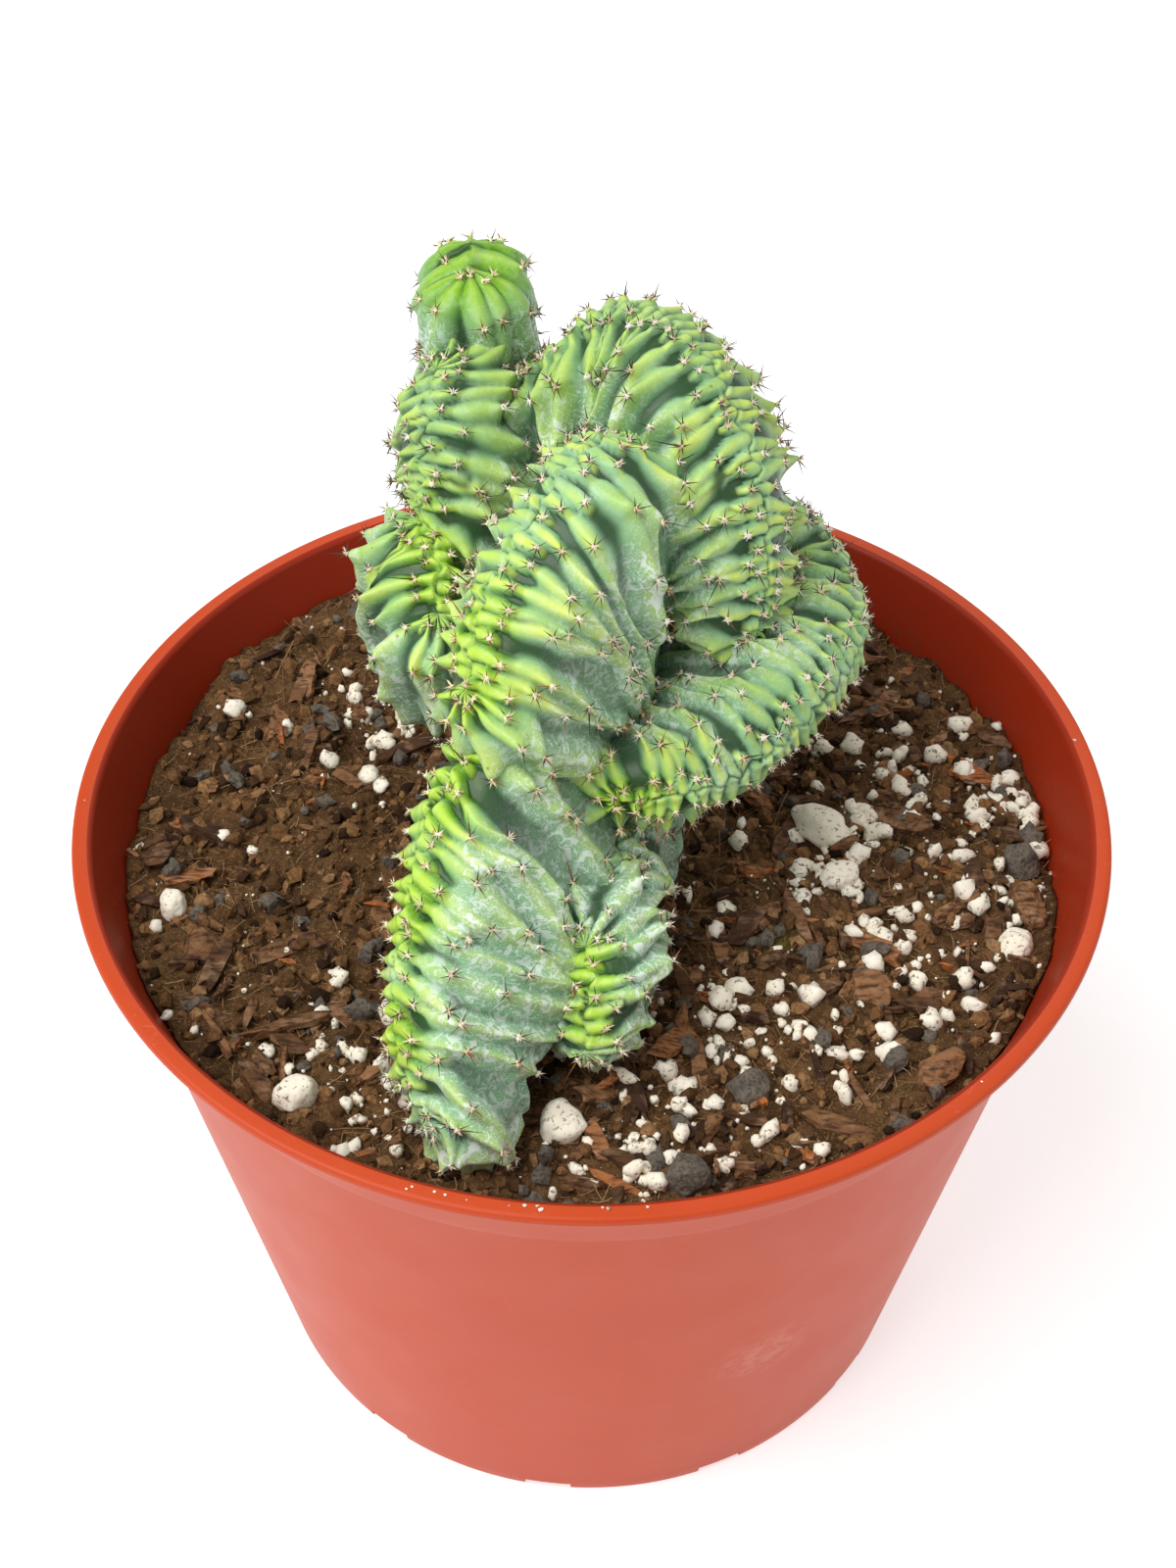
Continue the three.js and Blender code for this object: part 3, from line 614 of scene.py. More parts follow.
def growth_skin(name, growth, seed):
    """One growth as a closed mesh with ribs and beans, and where its areoles sit."""
    draw = random.Random(seed)
    loop, length, starts = loop_round(growth)
    _, _, lengths = sections(loop, np.array([0.0, 1.0]))
    total = lengths.max()
    s = row_places(total, growth.get("step", SKIN_STEP))
    out, below, _ = sections(loop, s / total)
    base = loop["top"] + below[..., None] * loop["down"] + out[..., None] * loop["out"]
    neighbours = np.roll(base, -1, axis=1) - np.roll(base, 1, axis=1)
    spacing = np.clip(np.linalg.norm(neighbours, axis=2) / (2 * loop["pace"]), 0, 1)
    normal = np.cross(neighbours, np.gradient(base, axis=0))
    size = np.linalg.norm(normal, axis=2, keepdims=True)
    normal = np.where(size > 1e-6, normal / np.maximum(size, 1e-9), -loop["down"])
    lean = (normal * (loop["out"] - loop["down"])).sum(axis=2, keepdims=True)
    normal = np.where(lean < 0, -normal, normal)
    normal[0] = -loop["down"]
    crested = growth["wedges"]
    pitch = growth["pitch"]
    # the seam wanders and zigzags between the beans of its two sides
    wobble = [noise.noise(Vector((along / 2.4, seed, 0.5))) + 0.35 * math.cos(math.pi * along / pitch)
              for along in loop["along"]]
    zig = 0.6 * pitch * np.array(wobble) * loop["zig"] * (1 if crested else 0.3)
    base = base + (zig * np.exp(-s / 2.6)[:, None])[..., None] * loop["side"]
    height, values, tips = raise_beans(loop, s, starts, length, total, growth, spacing, draw)
    fade = 1 - 0.75 * smooth_step(0.6 * total, 0.92 * total, s) * crested
    seam_depth = 0.4 if crested else 0
    # the skin between the ribs sinks into the smooth form, and so does the seam
    sunk = -0.9 * smooth_step(0, 3, s) * (1 - smooth_step(0.75 * total, total, s))
    sunk = sunk - seam_depth * np.exp(-s / 0.9)
    rise = (sunk[:, None] + fade[:, None] * height) * np.clip(spacing, 0.2, 1) ** 0.7
    rise[-1] = 0
    rise[0] = rise[0].mean()
    skin = base + rise[..., None] * normal
    fresh = np.zeros(spacing.shape)
    for at, reach in FRESH:
        fresh = np.maximum(fresh, np.exp(-((skin - at) ** 2).sum(axis=2) / reach**2))
    tender, grown = (4, 14) if crested else (7, 16)
    values["fresh"] = fresh * (1 - 0.9 * smooth_step(tender, grown, s))[:, None]
    values["seam"] = np.broadcast_to(s[:, None], spacing.shape)
    values["bloom"] = np.full(spacing.shape, growth.get("bloom", 0.0))
    mesh = wrapped_mesh(name, skin, values)
    rows = len(s)
    areoles = [(Vector(skin[row, k] * MM), Vector(normal[row, k]),
                Vector(unit(base[min(row + 2, rows - 1), k] - base[max(row - 2, 0), k])), s[row])
               for row, k in tips]
    return mesh, areoles


def wrapped_mesh(name, points, values):
    """A closed skin from rings of points in millimetres: a grid, moved into place and welded."""
    rows, columns = points.shape[:2]
    bm = bmesh.new()
    bmesh.ops.create_grid(bm, x_segments=columns, y_segments=rows - 1, size=1)
    mesh = finished(name, bm)
    mesh.vertices.foreach_set("co", np.concatenate([points, points[:, :1]], axis=1).ravel() * MM)
    for key, value in values.items():
        set_values(mesh, key, np.concatenate([value, value[:, :1]], axis=1).ravel())
    bm = bmesh.new()
    bm.from_mesh(mesh)
    bmesh.ops.remove_doubles(bm, verts=bm.verts, dist=1e-6)
    bmesh.ops.dissolve_degenerate(bm, edges=bm.edges, dist=1e-7)
    bmesh.ops.recalc_face_normals(bm, faces=bm.faces)
    bm.to_mesh(mesh)
    bm.free()
    return mesh


def join_solids(name, meshes):
    """One closed mesh from several that overlap."""
    objects = [bpy.data.objects.new(f"{name}_{i}", mesh) for i, mesh in enumerate(meshes)]
    first, rest = objects[0], bpy.data.collections.new(f"{name}_parts")
    bpy.context.scene.collection.objects.link(first)
    bpy.context.scene.collection.children.link(rest)
    for each in objects[1:]:
        rest.objects.link(each)
    mesh = cut_or_join(first, rest, "UNION")
    for each in objects:
        bpy.data.objects.remove(each)
    bpy.data.collections.remove(rest)
    return mesh


def fused_skin(name, meshes):
    """Overlapping closed skins fused into one, which keeps the values they carried."""
    joined = join_solids("growths", meshes)
    joined.name = name
    tree = kdtree.KDTree(sum(len(mesh.vertices) for mesh in meshes))
    values, count = [], 0
    for mesh in meshes:
        for vertex in mesh.vertices:
            tree.insert(vertex.co, count)
            count += 1
        values.append(np.stack([values_of(mesh, key) for key in SKIN_VALUES], axis=1))
    tree.balance()
    values = np.vstack(values)
    nearest = [tree.find(vertex.co)[1] for vertex in joined.vertices]
    for i, key in enumerate(SKIN_VALUES):
        set_values(joined, key, values[nearest, i])
    return joined


def add_cactus():
    """The plant in three fused parts, and its areoles on whatever skin is outermost."""
    skin = skin_material()
    meshes, areoles = {}, []
    for seed, (name, growth) in enumerate(GROWTHS.items()):
        meshes[name], found = growth_skin(name, growth, 11 + seed)
        areoles += found
    fused = []
    for name, members in PARTS.items():
        fused.append(fused_skin(name, [meshes[member] for member in members]))
        new_piece(name, fused[-1], skin, replaces=("cactus",))
    add_areoles(areoles, fused)


# Areoles and spines

# In millimetres: how far off the fused skin an areole may lie, and how near another one it may be
OFF_SKIN = 0.35
AREOLES_APART = 1.7


def outside_of(place, normal, skins):
    """Whether a place on a skin isn't buried in another one."""
    for skin in skins:
        hit, real_normal, _, _ = skin.find_nearest(place + 0.5 * MM * normal)
        if (place + 0.5 * MM * normal - hit).dot(real_normal) < 0:
            return False
    return True


def copies(name, template, placements):
    """One mesh from many copies of a small one; each placement is a matrix and the copy's own values."""
    start = np.hstack([positions_of(template), np.ones((len(template.vertices), 1))])
    bm = bmesh.new()
    for matrix, values in placements:
        moved = start @ np.array(matrix.transposed())
        template.vertices.foreach_set("co", moved[:, :3].ravel())
        for key, value in values.items():
            set_values(template, key, np.full(len(start), value))
        bm.from_mesh(template)
    return finished(name, bm)


def spine_template():
    """A four-sided cone, one unit in length and in radius; reach runs from 0 at its base to 1 at its tip."""
    bm = bmesh.new()
    bmesh.ops.create_cone(bm, cap_ends=True, segments=4, radius1=1, radius2=0.02, depth=1)
    bmesh.ops.translate(bm, verts=bm.verts, vec=(0, 0, 0.5))
    mesh = finished("spine_template", bm)
    set_values(mesh, "reach", positions_of(mesh)[:, 2])
    return mesh


def grain_template(name, detail, rough, seed, lumps=0.0, facets=0):
    """A rough little lump, about one unit in radius; lumps gives it broad bulges, facets flat sides."""
    bm = bmesh.new()
    bmesh.ops.create_icosphere(bm, subdivisions=detail, radius=1)
    draw = random.Random(seed)
    for vert in bm.verts:
        bulge = noise.noise(vert.co * 1.4 + Vector((seed, 0.3, 7))) * lumps
        vert.co *= 1 + bulge + rough * draw.uniform(-1, 1)
    chisel(bm, facets, 0.7, seed)
    return finished(name, bm)


def chisel(bm, planes, share, seed):
    """Strikes flat facets off a lump: its outermost part along random directions is pushed to a plane."""
    draw = random.Random(seed)
    centre = sum((vert.co for vert in bm.verts), Vector()) / len(bm.verts)
    for _ in range(planes):
        direction = Vector([draw.gauss(0, 1) for _ in range(3)]).normalized()
        heights = [(vert.co - centre).dot(direction) for vert in bm.verts]
        limit = share * max(heights)
        for vert, height in zip(bm.verts, heights):
            vert.co -= direction * max(0, height - limit)


def turned_towards(place, direction, across, along):
    """A matrix that stands a template on a place, with its z axis along a direction."""
    turn = direction.to_track_quat("Z", "Y").to_matrix().to_4x4()
    return Matrix.Translation(place) @ turn @ Matrix.Diagonal((across, across, along, 1))


def place_areoles(areoles, meshes):
    """The areoles that lie free on the skin, as (place, normal, way down, seam distance, fresh)."""
    skins = []
    for mesh in meshes:
        bm = bmesh.new()
        bm.from_mesh(mesh)
        skins.append(bvhtree.BVHTree.FromBMesh(bm))
        bm.free()
    kept = []
    for place, normal, onward, seam in areoles:
        hits = [skin.find_nearest(place) for skin in skins]
        hit, real_normal, _, distance = min(hits, key=lambda found: found[3])
        if distance > OFF_SKIN * MM or normal.dot(real_normal) < 0.2:
            continue
        if not outside_of(hit, real_normal, skins):
            continue
        if any((place - other[0]).length < AREOLES_APART * MM for other in kept[-60:]):
            continue
        fresh = max(math.exp(-((place / MM - Vector(at)).length / reach) ** 2) for at, reach in FRESH)
        kept.append((hit, (normal + real_normal).normalized(), onward, seam, fresh))
    return kept


def add_areoles(areoles, meshes):
    """Woolly pads at the outer ends of the beans, each with a star of spines."""
    draw = random.Random(5)
    pads, wool, spines = [], [], []
    ceiling = cad_box[1][2] - 0.02 * MM
    for place, normal, onward, seam, fresh in place_areoles(areoles, meshes):
        size = draw.uniform(0.5, 0.8) * MM
        shade = {"tint": draw.random(), "fresh": fresh}
        pads.append((turned_towards(place + 0.1 * MM * normal, normal, size, 0.55 * size), shade))
        across = normal.orthogonal().normalized()
        for i in range(8):
            sideways = Matrix.Rotation(draw.uniform(0, 2 * math.pi), 3, normal) @ across
            lean = (sideways * draw.uniform(0.3, 1.3) + normal * draw.uniform(0.5, 1.1)).normalized()
            long = draw.uniform(0.8, 1.7) * (1.2 if fresh > 0.5 else 1)
            wool.append((turned_towards(place, lean, 0.24 * MM, long * MM), shade))
        first = draw.uniform(0, 2 * math.pi)
        count = draw.choice((4, 5, 5, 6, 7))
        for i in range(count):
            around = first + 2 * math.pi * (i + draw.uniform(-0.3, 0.3)) / count
            sideways = Matrix.Rotation(around, 3, normal) @ across
            direction = (sideways + draw.uniform(0.1, 0.8) * normal).normalized()
            length = draw.uniform(1.7, 3.3) * (1.1 if seam > 9 else 0.85)
            spines.append((place, direction, length, draw.uniform(0.15, 0.2), fresh))
        if draw.random() < 0.45:
            astray = 0.5 * Vector([draw.uniform(-1, 1) for _ in range(3)])
            direction = (normal + astray + 0.25 * onward).normalized()
            length = draw.uniform(2.4, 4.4) if draw.random() < 0.8 else draw.uniform(5, 8)
            spines.append((place, direction, length, draw.uniform(0.17, 0.23), fresh))
    placements = []
    for place, direction, length, radius, fresh in spines:
        top = place.z + direction.z * length * MM
        if top > ceiling:
            length *= max(0.2, (ceiling - place.z) / (top - place.z))
        placements.append((turned_towards(place, direction, radius * MM, length * MM),
                           {"tint": draw.random(), "fresh": fresh}))
    felt = joined_mesh("areole_wool", [copies("pads", grain_template("pad", 1, 0.12, 3), pads),
                                       copies("tufts", spine_template(), wool)])
    new_piece("areole_wool", felt, wool_material())
    new_piece("spines", copies("spines", spine_template(), placements), spine_material())


# The pot


def turned_solid(bm, profile, steps):
    """Turns a profile of (radius, height) in millimetres, from axis to axis, into a closed solid."""
    verts = [bm.verts.new((r * MM, 0, z * MM)) for r, z in profile]
    edges = [bm.edges.new(pair) for pair in zip(verts, verts[1:])]
    bmesh.ops.spin(bm, geom=verts + edges, axis=(0, 0, 1), cent=(0, 0, 0), angle=2 * math.pi, steps=steps,
                   use_merge=True)
    bmesh.ops.remove_doubles(bm, verts=bm.verts, dist=1e-6)
    bmesh.ops.recalc_face_normals(bm, faces=bm.faces)


def soften_ring(bm, corner, width, segments):
    """Rounds the ring edge that the profile's corner leaves on a turned solid."""
    radius, height = corner
    on_ring = [e for e in bm.edges if all(
        abs(v.co.z - height * MM) < 1e-6 and abs(v.co.xy.length - radius * MM) < 1e-6 for v in e.verts)]
    bmesh.ops.bevel(bm, geom=on_ring, offset=width * MM, segments=segments, profile=0.5, affect="EDGES",
                    material=-1)


def box_at(bm, size, place, turn):
    """A box of the given size in millimetres, moved out from the axis and turned round it."""
    made = bmesh.ops.create_cube(bm, size=1)["verts"]
    bmesh.ops.scale(bm, verts=made, vec=[side * MM for side in size])
    bmesh.ops.translate(bm, verts=made, vec=[side * MM for side in place])
    bmesh.ops.rotate(bm, verts=made, cent=(0, 0, 0), matrix=Matrix.Rotation(turn, 3, "Z"))


def add_pot():
    """The moulded pot: tapered wall, collar, rounded rim, raised floor, notched foot and drain slots."""
    collar_foot = POT_HEIGHT - COLLAR_HEIGHT
    below_collar = collar_foot - COLLAR_SLOPE
    rim_foot = POT_HEIGHT - RIM_DEPTH
    floor_top = FLOOR_HEIGHT + FLOOR_THICKNESS
    foot_inside = BASE_RADIUS - FOOT_WIDTH
    bead = (RIM_RADIUS - 0.35, rim_foot)
    corners = {
        "foot_inside": (foot_inside, 0), "foot_outside": (BASE_RADIUS, 0),
        "below_collar": (inner_radius(below_collar) + WALL, below_collar),
        "collar_foot": (inner_radius(collar_foot) + WALL, collar_foot),
        "rim_outside": (RIM_RADIUS, POT_HEIGHT), "rim_inside": (inner_radius(POT_HEIGHT), POT_HEIGHT)}
    profile = [(0, FLOOR_HEIGHT), (foot_inside - 2, FLOOR_HEIGHT)]
    profile += [corners["foot_inside"], corners["foot_outside"]]
    # rings up the wall, close together by the foot, so that the notches leave no streaks in its shading
    profile += [(inner_radius(z) + WALL, z) for z in (4, 7, 12, 40, 80)]
    profile += [corners["below_collar"], corners["collar_foot"], (inner_radius(rim_foot) + WALL, rim_foot)]
    profile += [bead, (RIM_RADIUS, rim_foot + 0.5), corners["rim_outside"], corners["rim_inside"]]
    profile += [(inner_radius(z), z) for z in (collar_foot, below_collar, floor_top)]
    profile.append((0, floor_top))
    bm = bmesh.new()
    turned_solid(bm, profile, 240)
    for corner, width, segments in (
            ("foot_inside", 0.5, 2), ("foot_outside", 0.8, 3), ("below_collar", 0.5, 2),
            ("collar_foot", 0.5, 2), ("rim_outside", 0.9, 4), ("rim_inside", 1.1, 4)):
        soften_ring(bm, corners[corner], width, segments)
    pot = bpy.data.objects.new("pot_blank", finished("pot_blank", bm))
    bpy.context.scene.collection.objects.link(pot)
    cuts = bmesh.new()
    for count, size, place in ((DRAIN_NOTCHES, (12, 10, 4.8), (BASE_RADIUS - 2, 0, 0)),
                               (DRAIN_SLOTS, (18, 10, 20), (foot_inside - 15, 0, FLOOR_HEIGHT))):
        for i in range(count):
            box_at(cuts, size, place, FIRST_NOTCH + 2 * math.pi * i / count)
    drains = bpy.data.collections.new("drains")
    bpy.context.scene.collection.children.link(drains)
    cutter = bpy.data.objects.new("drain_cuts", finished("drain_cuts", cuts))
    drains.objects.link(cutter)
    mesh = cut_or_join(pot, drains, "DIFFERENCE")
    mesh.name = "plastic_pot"
    bpy.data.objects.remove(pot)
    bpy.data.objects.remove(cutter)
    bpy.data.collections.remove(drains)
    new_piece("plastic_pot", mesh, pot_material(), replaces=("pot",))
    mesh.set_sharp_from_angle(angle=math.radians(28))


# The potting mix and what lies on it

# In millimetres: the level of the mix, its clearance to the wall and the height of its underside
MIX_LEVEL = 125
MIX_FIT = 0.45
MIX_FOOT = FLOOR_HEIGHT + FLOOR_THICKNESS + 0.3
# How many rings of points its top has
MIX_RINGS = 84


def mix_height(x, y):
    """The level of the mix in millimetres, a little higher at the back left."""
    waves = 1.1 * math.sin(0.11 * x + 0.6) * math.cos(0.09 * y - 0.4)
    waves += 0.6 * math.sin(0.23 * x - 0.19 * y + 1.1)
    return MIX_LEVEL + waves + 4 * math.exp(-((x + 62) ** 2 + (y - 55) ** 2) / 700)


def mix_relief(x, y):
    """The crumbly relief over that level: clods, crumbs and grit."""
    clods = noise.noise(Vector((x / 9, y / 9, 3)))
    crumbs = noise.noise(Vector((x / 3.4, y / 3.4, 8)))
    grit = noise.noise(Vector((x / 1.5, y / 1.5, 5)))
    return 2.0 * clods + 1.6 * crumbs + 0.8 * grit


def add_mix():
    """The filling of the pot, with its crumbly top."""
    top = inner_radius(MIX_LEVEL) - MIX_FIT
    profile = [(top * i / MIX_RINGS, MIX_LEVEL) for i in range(MIX_RINGS + 1)]
    profile += [(inner_radius(z) - MIX_FIT, z) for z in (121, 90, 50, MIX_FOOT)]
    profile.append((0, MIX_FOOT))
    bm = bmesh.new()
    turned_solid(bm, profile, 330)
    for vert in bm.verts:
        x, y, z = vert.co / MM
        if z > MIX_LEVEL - 1:
            level = mix_height(x, y) + mix_relief(x, y)
            # the rim of the filling follows the widening wall
            stretch = (inner_radius(level) - MIX_FIT) / top if math.hypot(x, y) > 0.93 * top else 1
            vert.co = (x * stretch * MM, y * stretch * MM, level * MM)
    mesh = finished("potting_mix_filling", bm)
    new_piece("potting_mix_filling", mesh, mix_material(), replaces=("potting_mix",))


def chip_template(name, seed):
    """A split chip of bark, one unit long: a thin block with frayed ends and a warped, layered side."""
    bm = bmesh.new()
    bmesh.ops.create_cube(bm, size=1)
    long_edges = [e for e in bm.edges if abs(e.verts[0].co.x - e.verts[1].co.x) > 0.5]
    bmesh.ops.subdivide_edges(bm, edges=long_edges, cuts=3)
    cross_edges = [e for e in bm.edges if abs(e.verts[0].co.y - e.verts[1].co.y) > 0.5]
    bmesh.ops.subdivide_edges(bm, edges=cross_edges, cuts=1)
    draw = random.Random(seed)
    bow = draw.uniform(-0.25, 0.25)
    for vert in bm.verts:
        x, y, z = vert.co
        taper = 1 - (0.9 if abs(x) > 0.4 else 0.15) * draw.uniform(0, 0.6)
        vert.co = (x + (draw.uniform(-0.16, 0.16) if abs(x) > 0.4 else draw.uniform(-0.04, 0.04)),
                   y * taper + draw.uniform(-0.07, 0.07) + bow * x * x,
                   z * (0.75 + 0.25 * taper) + draw.uniform(-0.2, 0.2))
    return finished(name, bm)


def fibre_template(bend):
    """A thin peat fibre: a small triangle swept round an arc of the given angle, about one unit long."""
    bm = bmesh.new()
    corners = [bm.verts.new((0.02 * math.cos(a), 0, 0.02 * math.sin(a))) for a in (0.5, 2.6, 4.7)]
    face = bm.faces.new(corners)
    bmesh.ops.spin(bm, geom=[face], axis=(0, 0, 1), cent=(1 / bend, 0, 0), angle=bend, steps=3)
    bmesh.ops.translate(bm, verts=bm.verts, vec=(0, 0.5, 0))
    bmesh.ops.recalc_face_normals(bm, faces=bm.faces)
    return finished("fibre_template", bm)


def resting(draw, x, y, sizes, sink, tilt):
    """A placement that scales a template by the sizes, in millimetres, and lays it on the mix at x, y."""
    level = mix_height(x, y) + mix_relief(x, y)
    place = Vector((x, y, level + sizes[2] * (1 - sink))) * MM
    turn = Matrix.Rotation(draw.uniform(0, 2 * math.pi), 4, "Z")
    lean = Matrix.Rotation(draw.uniform(-tilt, tilt), 4, "X")
    lean = lean @ Matrix.Rotation(draw.uniform(-tilt, tilt), 4, "Y")
    matrix = Matrix.Translation(place) @ turn @ lean @ Matrix.Diagonal([size * MM for size in sizes] + [1])
    return matrix, {"tint": draw.random()}


# The boxes of the large loose pieces
LOOSE = [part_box(name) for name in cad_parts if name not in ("pot", "potting_mix", "cactus")]


def under_loose(x, y):
    """Whether one of the large loose pieces lies on this place of the mix."""
    return any(low[0] + MM < x * MM < high[0] - MM and low[1] + MM < y * MM < high[1] - MM
               for low, high in LOOSE)


def spot_on_mix(draw, margin, clusters=(), share=0.0):
    """A random free place on the mix; a share of them fall round the given cluster centres."""
    while True:
        if clusters and draw.random() < share:
            cx, cy, reach = draw.choice(clusters)
            x, y = draw.gauss(cx, reach), draw.gauss(cy, reach)
        else:
            x, y = draw.uniform(-92, 92), draw.uniform(-92, 92)
        if math.hypot(x, y) < inner_radius(MIX_LEVEL + 1) - margin and not under_loose(x, y):
            return x, y


# Where the perlite gathers: x, y and reach in millimetres
PERLITE_CLUSTERS = [
    (50, 6, 5), (78, -8, 7), (84, 14, 5), (47, -12, 6), (20, -72, 9), (-40, -62, 8), (-45, 38, 7),
    (36, -52, 10), (60, -32, 9), (8, -80, 6), (66, 26, 8), (30, -42, 8), (76, 0, 9)]


def add_litter(bark, perlite, stone):
    """The coarse part of the mix: crumbs, bark chips, splinters, fibres, perlite and grit."""
    draw = random.Random(21)
    crumbs = []
    for variant in range(5):
        template = grain_template("crumb", 1, 0.3, 40 + variant)
        placements = []
        for _ in range(860):
            size = draw.choice((0.5, 0.6, 0.8, 0.9, 1.1, 1.4, 1.9))
            sizes = [size * draw.uniform(0.6, 1.35) for _ in range(2)] + [size * draw.uniform(0.5, 0.9)]
            x, y = spot_on_mix(draw, size)
            placements.append(resting(draw, x, y, sizes, 0.6, 0.6))
        crumbs.append(copies("crumbs", template, placements))
    crumbs = joined_mesh("peat_crumbs", crumbs)
    new_piece("peat_crumbs", crumbs, crumb_material(), smooth=False)
    chips = []
    for variant in range(4):
        placements = []
        for _ in range(185):
            long = draw.uniform(2.5, 7) if draw.random() < 0.78 else draw.uniform(7, 14)
            sizes = (long, min(4.5, long * draw.uniform(0.12, 0.5)), draw.uniform(0.7, 1.9))
            x, y = spot_on_mix(draw, 0.5 * long)
            # the left side of the mix has fewer large chips
            if x < -15 and long > 4 and draw.random() < 0.6:
                continue
            placements.append(resting(draw, x, y, sizes, 0.55, 0.45))
        chips.append(copies("chips", chip_template("chip", 60 + variant), placements))
    new_piece("bark_bits", joined_mesh("bark_bits", chips), bark, smooth=False)
    threads = []
    for bend in (0.15, 0.5, 1.1):
        placements = []
        for _ in range(1600):
            long = draw.uniform(1.5, 5) if draw.random() < 0.9 else draw.uniform(5, 11)
            x, y = spot_on_mix(draw, 0.5 * long)
            thick = draw.uniform(2.5, 5)
            placements.append(resting(draw, x, y, (thick, long, thick), 0.9, 0.5))
        threads.append(copies("threads", fibre_template(bend), placements))
    threads = joined_mesh("peat_fibres", threads)
    new_piece("peat_fibres", threads, fibre_material(), smooth=False)
    grains = []
    for variant in range(4):
        placements = []
        for _ in range(150):
            size = draw.choice((0.5, 0.6, 0.8, 1.0, 1.2, 1.5, 2.0))
            sizes = [size * draw.uniform(0.65, 1.35) for _ in range(3)]
            x, y = spot_on_mix(draw, size, PERLITE_CLUSTERS, 0.6)
            placements.append(resting(draw, x, y, sizes, 0.45, 0.6))
        grains.append(copies("grains", grain_template("grain", 2, 0.05, 80 + variant, 0.5), placements))
    dust = []
    for _ in range(620):
        size = draw.uniform(0.15, 0.42)
        x, y = spot_on_mix(draw, 1, PERLITE_CLUSTERS, 0.55)
        dust.append(resting(draw, x, y, (size, size, size), 0.2, 0.6))
    # specks on the rim, most of them at the front
    for _ in range(18):
        angle = math.radians(draw.uniform(252, 276) if draw.random() < 0.7 else draw.uniform(170, 370))
        size = draw.uniform(0.15, 0.45)
        radius = draw.uniform(98.6, 100.2)
        place = Vector((radius * math.cos(angle), radius * math.sin(angle), POT_HEIGHT + 0.3 * size)) * MM
        flat = Matrix.Diagonal((size * MM, 0.8 * size * MM, 0.6 * size * MM, 1))
        dust.append((Matrix.Translation(place) @ flat, {"tint": draw.random()}))
    grains.append(copies("dust", grain_template("speck", 1, 0.25, 91), dust))
    new_piece("perlite_grains", joined_mesh("perlite_grains", grains), perlite)
    placements = []
    for _ in range(220):
        size = draw.uniform(0.6, 2.6)
        sizes = [size * draw.uniform(0.7, 1.3) for _ in range(3)]
        x, y = spot_on_mix(draw, size)
        placements.append(resting(draw, x, y, sizes, 0.5, 0.6))
    grit = copies("dark_grit", grain_template("grit", 2, 0.04, 97, 0.5, 9), placements)
    new_piece("dark_grit", grit, stone, smooth=False)


def add_lump(name, material, roughness, coarse, facets):
    """A large loose piece: its solid's form, refined and roughened, and struck into facets if it has any."""
    bm = bmesh.new()
    bm.from_mesh(bpy.data.objects[name].data)
    bmesh.ops.remove_doubles(bm, verts=bm.verts, dist=1e-6)
    bmesh.ops.subdivide_edges(bm, edges=bm.edges, cuts=3, use_grid_fill=True)
    for _ in range(2):
        bmesh.ops.smooth_vert(
            bm, verts=bm.verts, factor=0.5, use_axis_x=True, use_axis_y=True, use_axis_z=True)
    chisel(bm, facets, 0.8, len(name))
    bm.normal_update()
    shift = Vector((len(name), name.count("e"), 1))
    moves = []
    for vert in bm.verts:
        p = vert.co / MM
        big = noise.noise(p / coarse + shift)
        small = noise.noise(p / (0.35 * coarse) + shift)
        moves.append(vert.normal * (roughness * (big + 0.5 * small) - 0.2 * roughness) * MM)
    for vert, move in zip(bm.verts, moves):
        vert.co += move
    mesh = finished(f"{name}_fine", bm)
    set_values(mesh, "tint", np.full(len(mesh.vertices), random.Random(len(name)).uniform(0.5, 0.85)))
    new_piece(f"{name}_fine", mesh, material, replaces=(name,), smooth=not facets)


def add_lumps(bark, perlite, stone):
    """The large loose pieces, each refined in the way of its kind."""
    kinds = {"perlite": (perlite, 0.36, 2.6, 0), "bark": (bark, 0.45, 3.0, 5), "stone": (stone, 0.3, 1.8, 10)}
    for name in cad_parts:
        kind = name.split("_")[0]
        if kind in kinds:
            material, roughness, coarse, facets = kinds[kind]
            add_lump(name, material, roughness, coarse, facets)


# Materials

COLOUR = {"data_type": "RGBA"}
EASED = {"interpolation_type": "SMOOTHSTEP"}
TIMES = {"operation": "MULTIPLY"}


